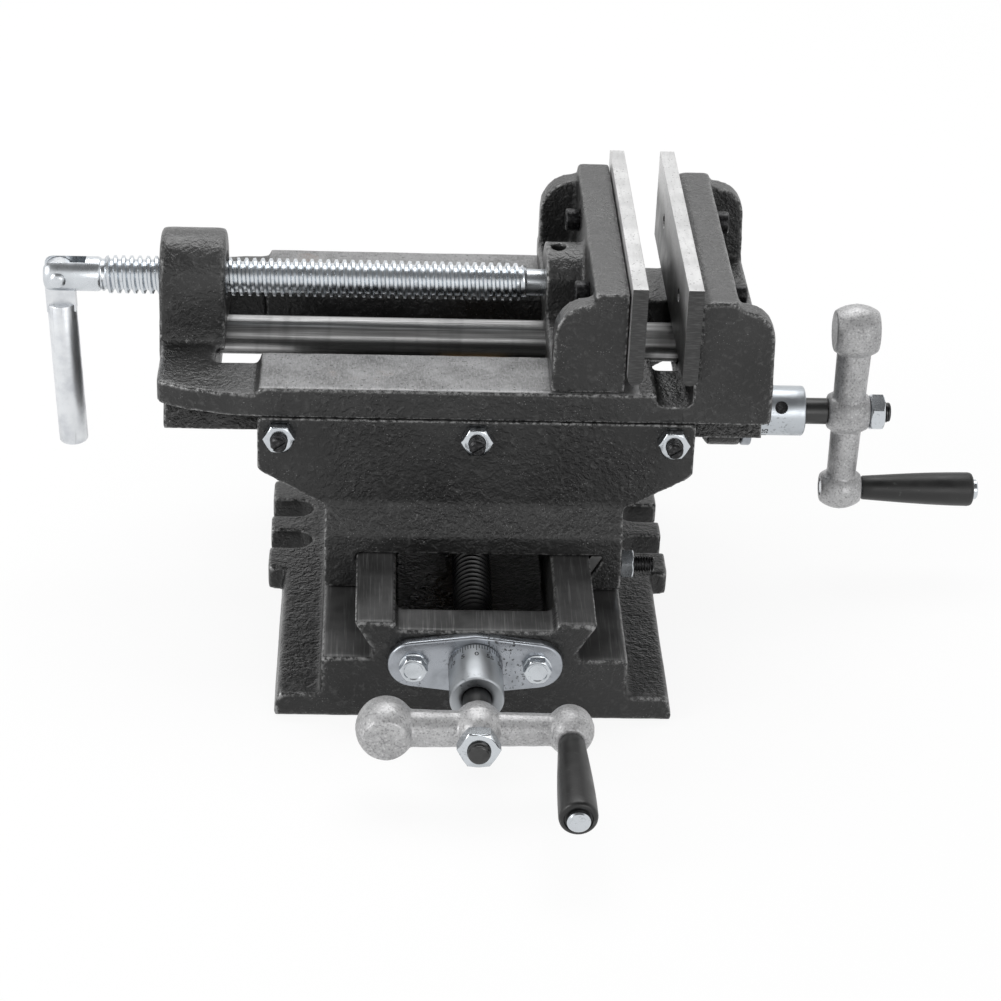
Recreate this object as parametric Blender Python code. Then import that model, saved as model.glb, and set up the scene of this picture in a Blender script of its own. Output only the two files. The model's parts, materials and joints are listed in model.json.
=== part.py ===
"""Cross slide vise with 125 mm jaws.

A dovetailed base carries a saddle that slides front to back. The saddle carries
the vise body, which slides left to right. Each slide has its own lead screw,
dial collar and ball crank. The vise body holds a moving jaw, a guide rod and the
clamp spindle with its folding handle.

All sizes below are millimetres; meshes are made in metres, with +Z up, +X to the
right and -Y towards the front crank. The origin is the centre of the base's
bottom face.
"""
import math

import bmesh
import bpy
from mathutils import Matrix, Vector

MM = 0.001

# Fits
GAP = 0.3                      # clearance between faces that touch or slide
THREAD_GAP = 0.4               # clearance round a screw in its threaded bore
DOVETAIL_ANGLE = math.radians(60)
GIB_THICKNESS = 3.6

# Base
BASE_LENGTH = 241.0            # front to back
BASE_WIDTH = 142.0
BASE_FLANGE_HEIGHT = 9.5
BASE_DRAFT = 1.75              # how far each flange side leans in
BASE_BLOCK_WIDTH = 108.0
BASE_FLOOR_Z = 25.0            # the machined floor beside the dovetail
BASE_WAY_Z = 39.5              # top of the dovetail
BASE_WAY_WIDTH = 86.0
POCKET_WIDTH = 56.0
POCKET_FLOOR_Z = 9.5
POCKET_WALL = 15.0             # front and rear walls of the pocket
POCKET_WALL_Z = 36.5
EAR_WIDTH = 152.0
EAR_LENGTH = 69.0
SLOT_PITCH = 24.0
SLOT_WIDTH = 13.0
SLOT_DEPTH = 16.0              # from the ear's edge to the slot's round end
CAST_RADIUS = 1.4

# Front lead screw, which moves the saddle
SCREW_RADIUS = 7.0
SCREW_PITCH = 3.0
JOURNAL_RADIUS = 5.0
STUD_RADIUS = 4.0
FRONT_SCREW_Z = 24.8
FRONT_SCREW_LENGTH = 203.0     # of the threaded part

# Bearing flanges
FLANGE_THICKNESS = 4.0
FRONT_FLANGE_RADIUS = 11.8
FRONT_FLANGE_END_RADIUS = 9.1
FRONT_FLANGE_BOLT_OFFSET = 21.7
SIDE_FLANGE_RADIUS = 11.7
SIDE_FLANGE_END_RADIUS = 6.5
SIDE_FLANGE_BOLT_OFFSET = 14.6
FLANGE_BOLT_RADIUS = 2.5
FLANGE_BOLT_LENGTH = 11.0      # into the casting
FLANGE_BOLT_ACROSS = 8.8
FLANGE_BOLT_HEAD = 3.7
SIDE_BOLT_HEAD_RADIUS = 4.0
SIDE_BOLT_RADIUS = 2.0

# Dial collars
COLLAR_RADIUS = 9.55
COLLAR_LENGTH = 21.4
COLLAR_SCREW_RADIUS = 2.3
COLLAR_SCREW_LENGTH = 3.0
COLLAR_SCREW_FROM_END = 9.5    # from the collar's outer end
SIDE_COLLAR_SCREW_ANGLE = math.radians(34)    # above the horizontal, at the front

# Cranks
CRANK_GAP = 8.9                # from the dial collar to the crank's hub
HUB_RADIUS = 8.7
HUB_THICKNESS = 16.6
BIG_BALL_RADIUS = 10.3
BIG_BALL_THICKNESS = 18.6
SMALL_BALL_RADIUS = 8.2
SMALL_BALL_THICKNESS = 16.2
FRONT_REACH = (31.2, 31.2)      # big and small ball, from the screw's axis
SIDE_REACH = (34.0, 33.0)
BIG_ARM_RADIUS = 6.6
SMALL_ARM_RADIUS = 5.8
CRANK_NUT_ACROSS = 13.0
CRANK_NUT_THICKNESS = 6.3
STUD_PROUD = 1.9
GRIP_LENGTH = 43.0
GRIP_NECK_RADIUS = 4.9
GRIP_END_RADIUS = 6.6
GRIP_PIN_RADIUS = 2.3
GRIP_PIN_HEAD_RADIUS = 4.4
GRIP_PIN_HEAD = 1.6
RIVET_RECESS = 1.5
RIVET_RADIUS = 3.0

# Saddle
SADDLE_Y = -8.5                # where the saddle stands on the base at rest
SADDLE_TOP_WIDTH = 156.6
SADDLE_DEPTH = 118.0
SADDLE_TOP_Z = 91.3
SADDLE_SHOULDER_Z = 69.9       # lower edge of the top block's ends
SADDLE_WAIST_Z = 56.8
SADDLE_FOOT_WIDTH = 108.0
SADDLE_FOOT_DEPTH = 131.0
SADDLE_LEDGE_Z = 47.0          # top of the foot's front face
SADDLE_WAIST_WIDTH = 112.0
RELIEF_DEPTH = 9.5             # of the cut at each end of the table socket's floor
RELIEF_HALF = 36.0
NUT_BOSS_WIDTH = 25.0
NUT_BOSS_DROP = 2.4
GIB_SCREW_RADIUS = 3.0
GIB_NUT_ACROSS = 10.0
GIB_NUT_THICKNESS = 5.0
TABLE_GIB_SCREW_SPAN = 70.4
TABLE_GIB_SCREW_Z = 85.1
TABLE_GIB_SCREW_PROUD = 4.2    # beyond its nut
BASE_GIB_SCREW_SPAN = 55.0
BASE_GIB_SCREW_Z = 31.0
BASE_GIB_SCREW_PROUD = 7.8

# Side lead screw, which moves the vise body
SIDE_SCREW_Z = 67.0
SIDE_SCREW_LEFT = -95.0        # free end of its thread
TROUGH_RADIUS = 12.6
LEAD_NUT_LENGTH = 24.0
LEAD_NUT_HALF_WIDTH = 12.0
SPIGOT_RADIUS = 6.0
SPIGOT_LENGTH = 5.0

# Vise body
BODY_LEFT = -114.5
BODY_RIGHT = 105.3
BODY_HALF_DEPTH = SADDLE_DEPTH / 2
BODY_LEFT_HALF_DEPTH = 49.5    # the left end is narrower
BODY_TAPER_END = -80.0         # where the taper meets the full width
BODY_SLAB_Z = 100.5
RAIL_Z = 103.0
RAIL_LEFT = -78.0
RAIL_INNER = 30.0
TABLE_WAY_HALF = 44.0          # half width of the dovetail at its bottom
TABLE_WAY_Z = 77.8             # bottom of the dovetail
OPENING_HALF = 29.0
ROUGH_EXTRA = 4.3              # how much wider the opening is beside the boss
BOSS_RIGHT = -91.5
BOSS_RADIUS = 18.0
BOSS_FOOT_HALF = 20.5
NOTCH_LEFT = 63.7
NOTCH_RIGHT = 76.2
NOTCH_Z = 98.4
LUG_LEFT = 88.0
LUG_RIGHT = 100.1

# Jaws, plates, guide rod and spindle
JAW_LENGTH = 125.0             # of the jaw plates, the size the vise is sold by
PLATE_THICKNESS = 5.5
PLATE_BOTTOM_Z = RAIL_Z + 5.7
PLATE_ABOVE_JAW = 3.8
JAW_OPENING = 13.9             # as shown at rest
JAW_TRAVEL = 108.0             # further opening that the spindle gives
FIXED_FACE_X = 71.6            # inner face of the fixed plate
JAW_CAST_HALF = BODY_HALF_DEPTH - 0.2
MOVING_JAW_TOP_Z = 142.0
FIXED_JAW_DROP = 2.6           # of the fixed jaw's top below the moving jaw's
FIXED_JAW_TOP_Z = MOVING_JAW_TOP_Z - FIXED_JAW_DROP
PLATE_HEIGHT = MOVING_JAW_TOP_Z + PLATE_ABOVE_JAW - PLATE_BOTTOM_Z
JAW_RISE = MOVING_JAW_TOP_Z - RAIL_Z
JAW_WALL = 12.3
MOVING_EAR_LEFT = 25.5
EAR_SHOULDER_RADIUS = JAW_RISE / 3
EAR_THICKNESS = 8.5
EAR_DROP = 4.3                 # of each ear's top below the jaw's top
JAW_FLOOR_HEIGHT = JAW_RISE * 8 / 39
JAW_SCREW_OFFSET = 32.0
JAW_SCREW_Z = RAIL_Z + JAW_RISE * 27 / 39
JAW_WALL_FOOT_Z = RAIL_Z + JAW_RISE * 20 / 39    # where the wall's back starts to slope
JAW_SCREW_RADIUS = 2.5
JAW_SCREW_HEAD_RADIUS = 4.25
JAW_SCREW_HEAD = 5.0
SPINDLE_Z = 118.6
JAW_BOSS_RADIUS = 15.2
JAW_BOSS_HALF = 13.4
JAW_BOSS_LENGTH = 15.2
ROD_Z = 95.0
ROD_RADIUS = 7.25
ROD_LEFT = -103.7
ROD_RIGHT = 91.7
JAW_GUIDE_BOTTOM = 84.0
SPINDLE_THREAD_LEFT = -137.8
SPINDLE_THREAD_RIGHT = 18.6
SPINDLE_JOURNAL_RIGHT = 37.5
SPINDLE_GROOVE = 4.0
RETAINING_SCREW_X = 30.0
HEAD_RADIUS = 6.4
HANDLE_X = -153.0
HANDLE_RADIUS = 5.4
HANDLE_BOTTOM = 49.5
HANDLE_SHOULDER = 11.6         # below its pin
HANDLE_LEAN = math.radians(2.4)    # of the handle as it hangs in the photograph
TONGUE_THICKNESS = 5.2
SLOT_RIGHT = -143.0
HANDLE_PIN_RADIUS = 1.8
HANDLE_PIN_HEAD = 3.0

FLANK = 1.0 / math.tan(DOVETAIL_ANGLE)        # sideways run of a flank per unit of height
FLANK_GAP = GAP / math.sin(DOVETAIL_ANGLE)
GIB_RUN = GIB_THICKNESS / math.sin(DOVETAIL_ANGLE)
MOVING_FACE_X = FIXED_FACE_X - JAW_OPENING
HALF_LENGTH = BASE_LENGTH / 2


# Finishes: colour, roughness, metallic
FINISHES = {
    "cast": ((0.035, 0.035, 0.036), 0.6, 0.0),
    "machined": ((0.33, 0.33, 0.33), 0.4, 1.0),
    "zinc": ((0.62, 0.64, 0.66), 0.28, 1.0),
    "aluminium": ((0.45, 0.45, 0.46), 0.5, 1.0),
    "black_steel": ((0.04, 0.04, 0.04), 0.4, 0.6),
    "plastic": ((0.03, 0.03, 0.03), 0.45, 0.0),
    "bronze": ((0.35, 0.24, 0.12), 0.4, 1.0),
}


def clear_scene():
    for old in list(bpy.data.objects):
        bpy.data.objects.remove(old, do_unlink=True)


def material(name, finish):
    colour, roughness, metallic = FINISHES[finish]
    made = bpy.data.materials.new(f"{name}_{finish}")
    made.use_nodes = True
    shader = made.node_tree.nodes["Principled BSDF"]
    shader.inputs["Base Color"].default_value = (*colour, 1.0)
    shader.inputs["Roughness"].default_value = roughness
    shader.inputs["Metallic"].default_value = metallic
    return made


class Frame:
    """An empty on a joint's axis, which carries the pieces of one moving body."""

    def __init__(self, name, origin, parent=None):
        self.origin = Vector(origin)
        self.empty = bpy.data.objects.new(name, None)
        bpy.context.collection.objects.link(self.empty)
        start = parent.origin if parent else Vector((0, 0, 0))
        self.empty.location = (self.origin - start) * MM
        if parent:
            self.empty.parent = parent.empty


# Outlines

def arc(centre, radius, start, end, steps):
    """Points on an arc, angles in degrees."""
    angles = [math.radians(start + (end - start) * i / steps) for i in range(steps + 1)]
    return [(centre[0] + radius * math.cos(a), centre[1] + radius * math.sin(a)) for a in angles]


def rounded(corners, steps=3):
    """An outline from corners (a, b, radius), each rounded where its radius isn't 0."""
    outline = []
    for i, (a, b, radius) in enumerate(corners):
        corner = Vector((a, b))
        if radius <= 0:
            outline.append((a, b))
            continue
        before = (Vector(corners[i - 1][:2]) - corner).normalized()
        after = (Vector(corners[(i + 1) % len(corners)][:2]) - corner).normalized()
        half = before.angle(after) / 2
        reach = radius / math.tan(half)
        middle = corner + (before + after).normalized() * (radius / math.sin(half))
        first = corner + before * reach - middle
        last = corner + after * reach - middle
        turn = math.atan2(first.x * last.y - first.y * last.x, first.dot(last))
        for step in range(steps + 1):
            point = Matrix.Rotation(turn * step / steps, 2) @ first + middle
            outline.append((point.x, point.y))
    return outline


def rectangle(low_a, high_a, low_b, high_b, radius=0.0):
    return rounded([(low_a, low_b, radius), (high_a, low_b, radius),
                    (high_a, high_b, radius), (low_a, high_b, radius)])


def oval_flange(centre, radius, end_radius, offset, steps=6):
    """A round middle with a smaller round end on each side, joined by straight tangents."""
    lean = math.degrees(math.acos((radius - end_radius) / offset))
    a, b = centre
    outline = arc((a + offset, b), end_radius, -lean, lean, steps)
    outline += arc(centre, radius, lean, 180 - lean, steps)
    outline += arc((a - offset, b), end_radius, 180 - lean, 180 + lean, steps)
    outline += arc(centre, radius, 180 + lean, 360 - lean, steps)
    return outline


def hexagon(across):
    """Radius of a hexagon at an angle, for turned(); a corner lies at angle 0."""
    def radius(angle):
        turn = (math.degrees(angle) + 30) % 60 - 30
        return across / 2 / math.cos(math.radians(30 - abs(turn)))
    return radius


# Solids, in millimetres

AXES = {"x": (1, 2, 0), "y": (0, 2, 1), "z": (0, 1, 2)}


def place(axis, a, b, along):
    """The point with a and b across the axis and along on it."""
    first, second, third = AXES[axis]
    point = [0.0, 0.0, 0.0]
    point[first] = a
    point[second] = b
    point[third] = along
    return point


def close_up(mesh):
    bmesh.ops.recalc_face_normals(mesh, faces=mesh.faces)
    return mesh


def prism(outline, axis, low, high):
    """An outline extruded along an axis; it lies across x as (y, z), y as (x, z), z as (x, y)."""
    mesh = bmesh.new()
    rows = []
    for along in (low, high):
        rows.append([mesh.verts.new(place(axis, a, b, along)) for a, b in outline])
    mesh.faces.new(rows[0])
    mesh.faces.new(rows[1])
    count = len(outline)
    for i in range(count):
        j = (i + 1) % count
        mesh.faces.new((rows[0][i], rows[0][j], rows[1][j], rows[1][i]))
    return close_up(mesh)


def block(x, y, z):
    return prism([(x[0], y[0]), (x[1], y[0]), (x[1], y[1]), (x[0], y[1])], "z", *z)


def turned(axis, centre, sections, segments=24, ring=False):
    """A turned solid from sections (along, radius); a radius may be a function of the angle.
    With ring set the sections are a closed loop round a bore, and otherwise the ends are capped."""
    mesh = bmesh.new()
    rows = []
    for along, radius in sections:
        if not callable(radius) and radius == 0:
            rows.append([mesh.verts.new(place(axis, *centre, along))])
            continue
        row = []
        for i in range(segments):
            angle = math.tau * i / segments
            size = radius(angle) if callable(radius) else radius
            a = centre[0] + size * math.cos(angle)
            b = centre[1] + size * math.sin(angle)
            row.append(mesh.verts.new(place(axis, a, b, along)))
        rows.append(row)
    pairs = list(zip(rows, rows[1:]))
    if ring:
        pairs.append((rows[-1], rows[0]))
    for low, high in pairs:
        for i in range(segments):
            j = (i + 1) % segments
            if len(low) == 1:
                mesh.faces.new((low[0], high[i], high[j]))
            elif len(high) == 1:
                mesh.faces.new((low[i], low[j], high[0]))
            else:
                mesh.faces.new((low[i], low[j], high[j], high[i]))
    if not ring:
        for row in (rows[0], rows[-1]):
            if len(row) > 1:
                mesh.faces.new(row)
    return close_up(mesh)


def rod(axis, centre, radius, low, high, segments=24):
    return turned(axis, centre, [(low, radius), (high, radius)], segments)


def drum(radius, thickness, flat):
    """Sections of a ball with a flat disc on each face."""
    half = thickness / 2
    sections = [(-half, flat)]
    for angle in (-50, -25, 0, 25, 50):
        turn = math.radians(angle)
        sections.append((half * math.sin(turn) / math.sin(math.radians(62)),
                         flat + (radius - flat) * math.cos(turn)))
    sections.append((half, flat))
    return sections


# Objects

def link(name, mesh, origin):
    data = bpy.data.meshes.new(name)
    for vertex in mesh.verts:
        vertex.co = (vertex.co - origin) * MM
    mesh.to_mesh(data)
    mesh.free()
    made = bpy.data.objects.new(name, data)
    bpy.context.collection.objects.link(made)
    return made


def piece(name, mesh, frame, finish):
    """A visible piece, carried by its body's frame."""
    made = link(name, mesh, frame.origin)
    made.parent = frame.empty
    made.data.materials.append(material(name, finish))
    made.data.shade_smooth()
    made.data.set_sharp_from_angle(angle=math.radians(35))
    return made


def shape(target, frame, meshes, operation="DIFFERENCE"):
    """Cut meshes from a piece, or join them to it, with hidden tools."""
    for mesh in meshes:
        count = len(target.modifiers)
        tool = link(f"{target.name}_tool_{count}", mesh, frame.origin)
        tool.parent = frame.empty
        tool.hide_render = True
        tool.display_type = "WIRE"
        boolean = target.modifiers.new(f"{operation.lower()}_{count}", "BOOLEAN")
        boolean.operation = operation
        boolean.solver = "EXACT"
        boolean.object = tool


# Base

def way_flank(z):
    """Half width of the base's dovetail at a height."""
    return BASE_WAY_WIDTH / 2 - (BASE_WAY_Z - z) * FLANK


def make_base(frame):
    half = BASE_WIDTH / 2
    side = half - BASE_DRAFT
    block_half = BASE_BLOCK_WIDTH / 2
    root = way_flank(BASE_FLOOR_Z)
    top = BASE_WAY_WIDTH / 2
    right = [(half, 0, 0), (side, BASE_FLANGE_HEIGHT, CAST_RADIUS),
             (block_half, BASE_FLANGE_HEIGHT, CAST_RADIUS), (block_half, BASE_FLOOR_Z, 1.0),
             (root, BASE_FLOOR_Z, 0), (top, BASE_WAY_Z, 0.5)]
    left = [(-x, z, r) for x, z, r in reversed(right)]
    base = piece("base", prism(rounded(right + left), "y", -HALF_LENGTH, HALF_LENGTH),
                 frame, "cast")
    ear = rectangle(-EAR_WIDTH / 2, EAR_WIDTH / 2, -EAR_LENGTH / 2, EAR_LENGTH / 2, 2.5)
    shape(base, frame, [prism(ear, "z", 0, BASE_FLANGE_HEIGHT)], "UNION")
    cuts = []
    for sign in (-1, 1):
        for slot_y in (-SLOT_PITCH / 2, SLOT_PITCH / 2):
            cuts.append(ear_slot(sign, slot_y))
    pocket_end = HALF_LENGTH - POCKET_WALL
    pocket = rectangle(-POCKET_WIDTH / 2, POCKET_WIDTH / 2, -pocket_end, pocket_end, 3.0)
    cuts.append(prism(pocket, "z", POCKET_FLOOR_Z, BASE_WAY_Z + 5))
    cuts.append(block((-POCKET_WIDTH / 2, POCKET_WIDTH / 2), (-HALF_LENGTH - 5, HALF_LENGTH + 5),
                      (POCKET_WALL_Z, BASE_WAY_Z + 5)))
    centre = (0, FRONT_SCREW_Z)
    cuts.append(rod("y", centre, SCREW_RADIUS + THREAD_GAP, -HALF_LENGTH - 5, -pocket_end + 5))
    for sign in (-1, 1):
        centre = (sign * FRONT_FLANGE_BOLT_OFFSET, FRONT_SCREW_Z)
        cuts.append(rod("y", centre, FLANGE_BOLT_RADIUS + GAP, -HALF_LENGTH - 5,
                        -HALF_LENGTH + FLANGE_BOLT_LENGTH + 1, 16))
    shape(base, frame, cuts)
    return base


def ear_slot(sign, slot_y):
    """One open ended slot with a round inner end."""
    outer = EAR_WIDTH / 2 + 5
    inner = EAR_WIDTH / 2 - SLOT_DEPTH + SLOT_WIDTH / 2
    outline = [(outer, -SLOT_WIDTH / 2), (outer, SLOT_WIDTH / 2)]
    outline += arc((inner, 0), SLOT_WIDTH / 2, 90, 270, 8)
    outline = [(sign * x, y + slot_y) for x, y in outline]
    return prism(outline, "z", -5, BASE_FLANGE_HEIGHT + 5)


# Saddle

def table_flank(z):
    """Half width of the vise body's dovetail at a height."""
    return TABLE_WAY_HALF - (z - TABLE_WAY_Z) * FLANK


def make_saddle(frame):
    top = SADDLE_TOP_WIDTH / 2
    waist = SADDLE_WAIST_WIDTH / 2
    depth = SADDLE_DEPTH / 2
    low, high = SADDLE_Y - depth, SADDLE_Y + depth
    upper = [(-top, SADDLE_TOP_Z, 0.6), (-top, SADDLE_SHOULDER_Z, 2.0),
             (-waist, SADDLE_WAIST_Z, 0), (waist, SADDLE_WAIST_Z, 0),
             (top, SADDLE_SHOULDER_Z, 2.0), (top, SADDLE_TOP_Z, 0.6)]
    saddle = piece("saddle", prism(rounded(upper), "y", low, high), frame, "cast")
    foot = SADDLE_FOOT_DEPTH / 2
    bottom = BASE_FLOOR_Z + GAP
    outline = [(-foot, bottom, 0), (foot, bottom, 0), (foot, SADDLE_LEDGE_Z, 1.5),
               (depth, SADDLE_WAIST_Z + 0.6, 0), (-depth, SADDLE_WAIST_Z + 0.6, 0),
               (-foot, SADDLE_LEDGE_Z, 1.5)]
    outline = [(y + SADDLE_Y, z) for y, z in rounded(outline)]
    foot_half = SADDLE_FOOT_WIDTH / 2
    shape(saddle, frame, [prism(outline, "x", -foot_half, foot_half)], "UNION")
    shape(saddle, frame, [base_socket(foot), table_socket(top), trough(top)]
          + [end_relief(sign, top) for sign in (-1, 1)])
    shape(saddle, frame, [nut_boss(foot)], "UNION")
    shape(saddle, frame, gib_screw_holes(low, foot_half) + spigot_holes())
    return saddle


def base_socket(foot):
    """The dovetail socket that slides on the base, with room for the gib on its right."""
    low, high = BASE_FLOOR_Z - 5, BASE_WAY_Z + GAP
    extra = 2 * FLANK_GAP + GIB_RUN
    outline = [(-way_flank(low) - FLANK_GAP, low), (-way_flank(high) - FLANK_GAP, high),
               (way_flank(high) + extra, high), (way_flank(low) + extra, low)]
    return prism(outline, "y", SADDLE_Y - foot - 5, SADDLE_Y + foot + 5)


def table_socket(top):
    """The dovetail socket for the vise body, with room for the gib at its front."""
    low, high = TABLE_WAY_Z - GAP, SADDLE_TOP_Z + 5
    extra = 2 * FLANK_GAP + GIB_RUN
    outline = [(-table_flank(low) - extra, low), (-table_flank(high) - extra, high),
               (table_flank(high) + FLANK_GAP, high), (table_flank(low) + FLANK_GAP, low)]
    outline = [(y + SADDLE_Y, z) for y, z in outline]
    return prism(outline, "x", -top - 5, top + 5)


def trough(top):
    """The round bottomed channel in which the side lead screw lies."""
    outline = arc((SADDLE_Y, SIDE_SCREW_Z), TROUGH_RADIUS, 180, 360, 12)
    outline += [(SADDLE_Y + TROUGH_RADIUS, TABLE_WAY_Z + 2),
                (SADDLE_Y - TROUGH_RADIUS, TABLE_WAY_Z + 2)]
    return prism(outline, "x", -top - 5, top + 5)


def end_relief(sign, top):
    """The cut through the socket's floor at one end, round the bearing lug's path."""
    inner, outer = sorted((sign * (top - RELIEF_DEPTH), sign * (top + 5)))
    outline = rectangle(inner, outer, SADDLE_Y - RELIEF_HALF, SADDLE_Y + RELIEF_HALF, 2.0)
    return prism(outline, "z", SADDLE_WAIST_Z - 5, TABLE_WAY_Z + 2)


def nut_boss(foot):
    """The rounded lug over the lead screw, under the front of the foot."""
    half = NUT_BOSS_WIDTH / 2
    low = BASE_WAY_Z + GAP - NUT_BOSS_DROP
    high = BASE_WAY_Z + 4
    outline = rounded([(-half, high, 0), (-half, low, 2.2), (half, low, 2.2), (half, high, 0)])
    return prism(outline, "y", SADDLE_Y - foot + 4, SADDLE_Y - foot + 24)


def gib_screw_holes(low, foot_half):
    holes = []
    radius = GIB_SCREW_RADIUS + GAP
    for offset in (-1, 0, 1):
        centre = (offset * TABLE_GIB_SCREW_SPAN, TABLE_GIB_SCREW_Z)
        holes.append(rod("y", centre, radius, low - 5, SADDLE_Y - 35, 16))
        centre = (SADDLE_Y + offset * BASE_GIB_SCREW_SPAN, BASE_GIB_SCREW_Z)
        holes.append(rod("x", centre, radius, 36, foot_half + 5, 16))
    return holes


def spigot_holes():
    radius = SPIGOT_RADIUS + GAP
    floor = SIDE_SCREW_Z - TROUGH_RADIUS
    ceiling = BASE_WAY_Z + GAP
    return [rod("z", (0, SADDLE_Y), radius, ceiling - 3, ceiling + SPIGOT_LENGTH + GAP),
            rod("z", (0, SADDLE_Y), radius, floor - SPIGOT_LENGTH - GAP, floor + 6)]


def make_base_gib(frame):
    low, high = BASE_FLOOR_Z + 2 * GAP, BASE_WAY_Z - GAP
    outline = [(way_flank(low) + FLANK_GAP, low), (way_flank(low) + FLANK_GAP + GIB_RUN, low),
               (way_flank(high) + FLANK_GAP + GIB_RUN, high), (way_flank(high) + FLANK_GAP, high)]
    half = SADDLE_FOOT_DEPTH / 2 - 1.5
    return piece("base_gib", prism(outline, "y", SADDLE_Y - half, SADDLE_Y + half),
                 frame, "machined")


def make_table_gib(frame):
    low, high = TABLE_WAY_Z + GAP, SADDLE_TOP_Z - 0.5
    outer = FLANK_GAP + GIB_RUN
    outline = [(-table_flank(low) - FLANK_GAP, low), (-table_flank(low) - outer, low),
               (-table_flank(high) - outer, high), (-table_flank(high) - FLANK_GAP, high)]
    outline = [(y + SADDLE_Y, z) for y, z in outline]
    half = SADDLE_TOP_WIDTH / 2 - 1.0
    return piece("table_gib", prism(outline, "x", -half, half), frame, "machined")


def nut(name, frame, axis, centre, across, bore, low, high):
    """A chamfered hexagon nut."""
    chamfer = (high - low) * 0.12
    full = hexagon(across)

    def trimmed(angle):
        return min(full(angle), across * 0.535)
    sections = [(low, bore), (low, trimmed), (low + chamfer, full), (high - chamfer, full),
                (high, trimmed), (high, bore)]
    return piece(name, turned(axis, centre, sections, 24, ring=True), frame, "zinc")


def make_gib_screws(frame):
    """Set screws with lock nuts: three at the front for the table, three at the right side."""
    names = ("left", "middle", "right")
    front = SADDLE_Y - SADDLE_DEPTH / 2
    gib_face = table_flank(TABLE_GIB_SCREW_Z) + FLANK_GAP + GIB_RUN
    for name, offset in zip(names, (-1, 0, 1)):
        centre = (offset * TABLE_GIB_SCREW_SPAN, TABLE_GIB_SCREW_Z)
        outer = front - GAP - GIB_NUT_THICKNESS
        tip = outer - TABLE_GIB_SCREW_PROUD
        reach = GIB_SCREW_RADIUS * FLANK + GAP
        sections = [(tip, GIB_SCREW_RADIUS - 0.6), (tip + 0.6, GIB_SCREW_RADIUS),
                    (SADDLE_Y - gib_face - reach - 1.0, GIB_SCREW_RADIUS),
                    (SADDLE_Y - gib_face - reach, GIB_SCREW_RADIUS - 0.8)]
        piece(f"table_gib_screw_{name}", turned("y", centre, sections, 16), frame, "black_steel")
        nut(f"table_gib_nut_{name}", frame, "y", centre, GIB_NUT_ACROSS, GIB_SCREW_RADIUS + GAP,
            outer, front - GAP)
    side = SADDLE_FOOT_WIDTH / 2
    gib_face = way_flank(BASE_GIB_SCREW_Z) + FLANK_GAP + GIB_RUN
    for name, offset in zip(("front", "middle", "rear"), (-1, 0, 1)):
        centre = (SADDLE_Y + offset * BASE_GIB_SCREW_SPAN, BASE_GIB_SCREW_Z)
        outer = side + GAP + GIB_NUT_THICKNESS
        tip = outer + BASE_GIB_SCREW_PROUD
        reach = GIB_SCREW_RADIUS * FLANK + GAP
        sections = [(gib_face + reach, GIB_SCREW_RADIUS - 0.8),
                    (gib_face + reach + 1.0, GIB_SCREW_RADIUS),
                    (tip - 0.6, GIB_SCREW_RADIUS), (tip, GIB_SCREW_RADIUS - 0.6)]
        piece(f"base_gib_screw_{name}", turned("x", centre, sections, 16), frame, "black_steel")
        nut(f"base_gib_nut_{name}", frame, "x", centre, GIB_NUT_ACROSS, GIB_SCREW_RADIUS + GAP,
            side + GAP, outer)


def make_front_lead_nut(frame):
    """The half round nut under the saddle, keyed into it by a spigot."""
    top = BASE_WAY_Z
    radius = LEAD_NUT_HALF_WIDTH
    outline = arc((0, FRONT_SCREW_Z), radius, 180, 360, 12) + [(radius, top), (-radius, top)]
    half = LEAD_NUT_LENGTH / 2
    made = piece("front_lead_nut", prism(outline, "y", SADDLE_Y - half, SADDLE_Y + half),
                 frame, "bronze")
    shape(made, frame, [rod("z", (0, SADDLE_Y), SPIGOT_RADIUS, top - 3, top + SPIGOT_LENGTH)],
          "UNION")
    shape(made, frame, [rod("y", (0, FRONT_SCREW_Z), SCREW_RADIUS + THREAD_GAP,
                            SADDLE_Y - half - 5, SADDLE_Y + half + 5)])


def make_side_lead_nut(frame):
    """The nut in the saddle's trough, keyed into it by a spigot."""
    top = TABLE_WAY_Z - 1.0
    radius = LEAD_NUT_HALF_WIDTH
    outline = arc((SADDLE_Y, SIDE_SCREW_Z), radius, 180, 360, 12)
    outline += [(SADDLE_Y + radius, top), (SADDLE_Y - radius, top)]
    half = LEAD_NUT_LENGTH / 2
    made = piece("side_lead_nut", prism(outline, "x", -half, half), frame, "bronze")
    floor = SIDE_SCREW_Z - TROUGH_RADIUS
    shape(made, frame, [rod("z", (0, SADDLE_Y), SPIGOT_RADIUS, floor - SPIGOT_LENGTH, floor + 4)],
          "UNION")
    shape(made, frame, [rod("x", (SADDLE_Y, SIDE_SCREW_Z), SCREW_RADIUS + THREAD_GAP,
                            -half - 5, half + 5)])


# Lead screw with its flange, collar, crank and grip

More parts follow.
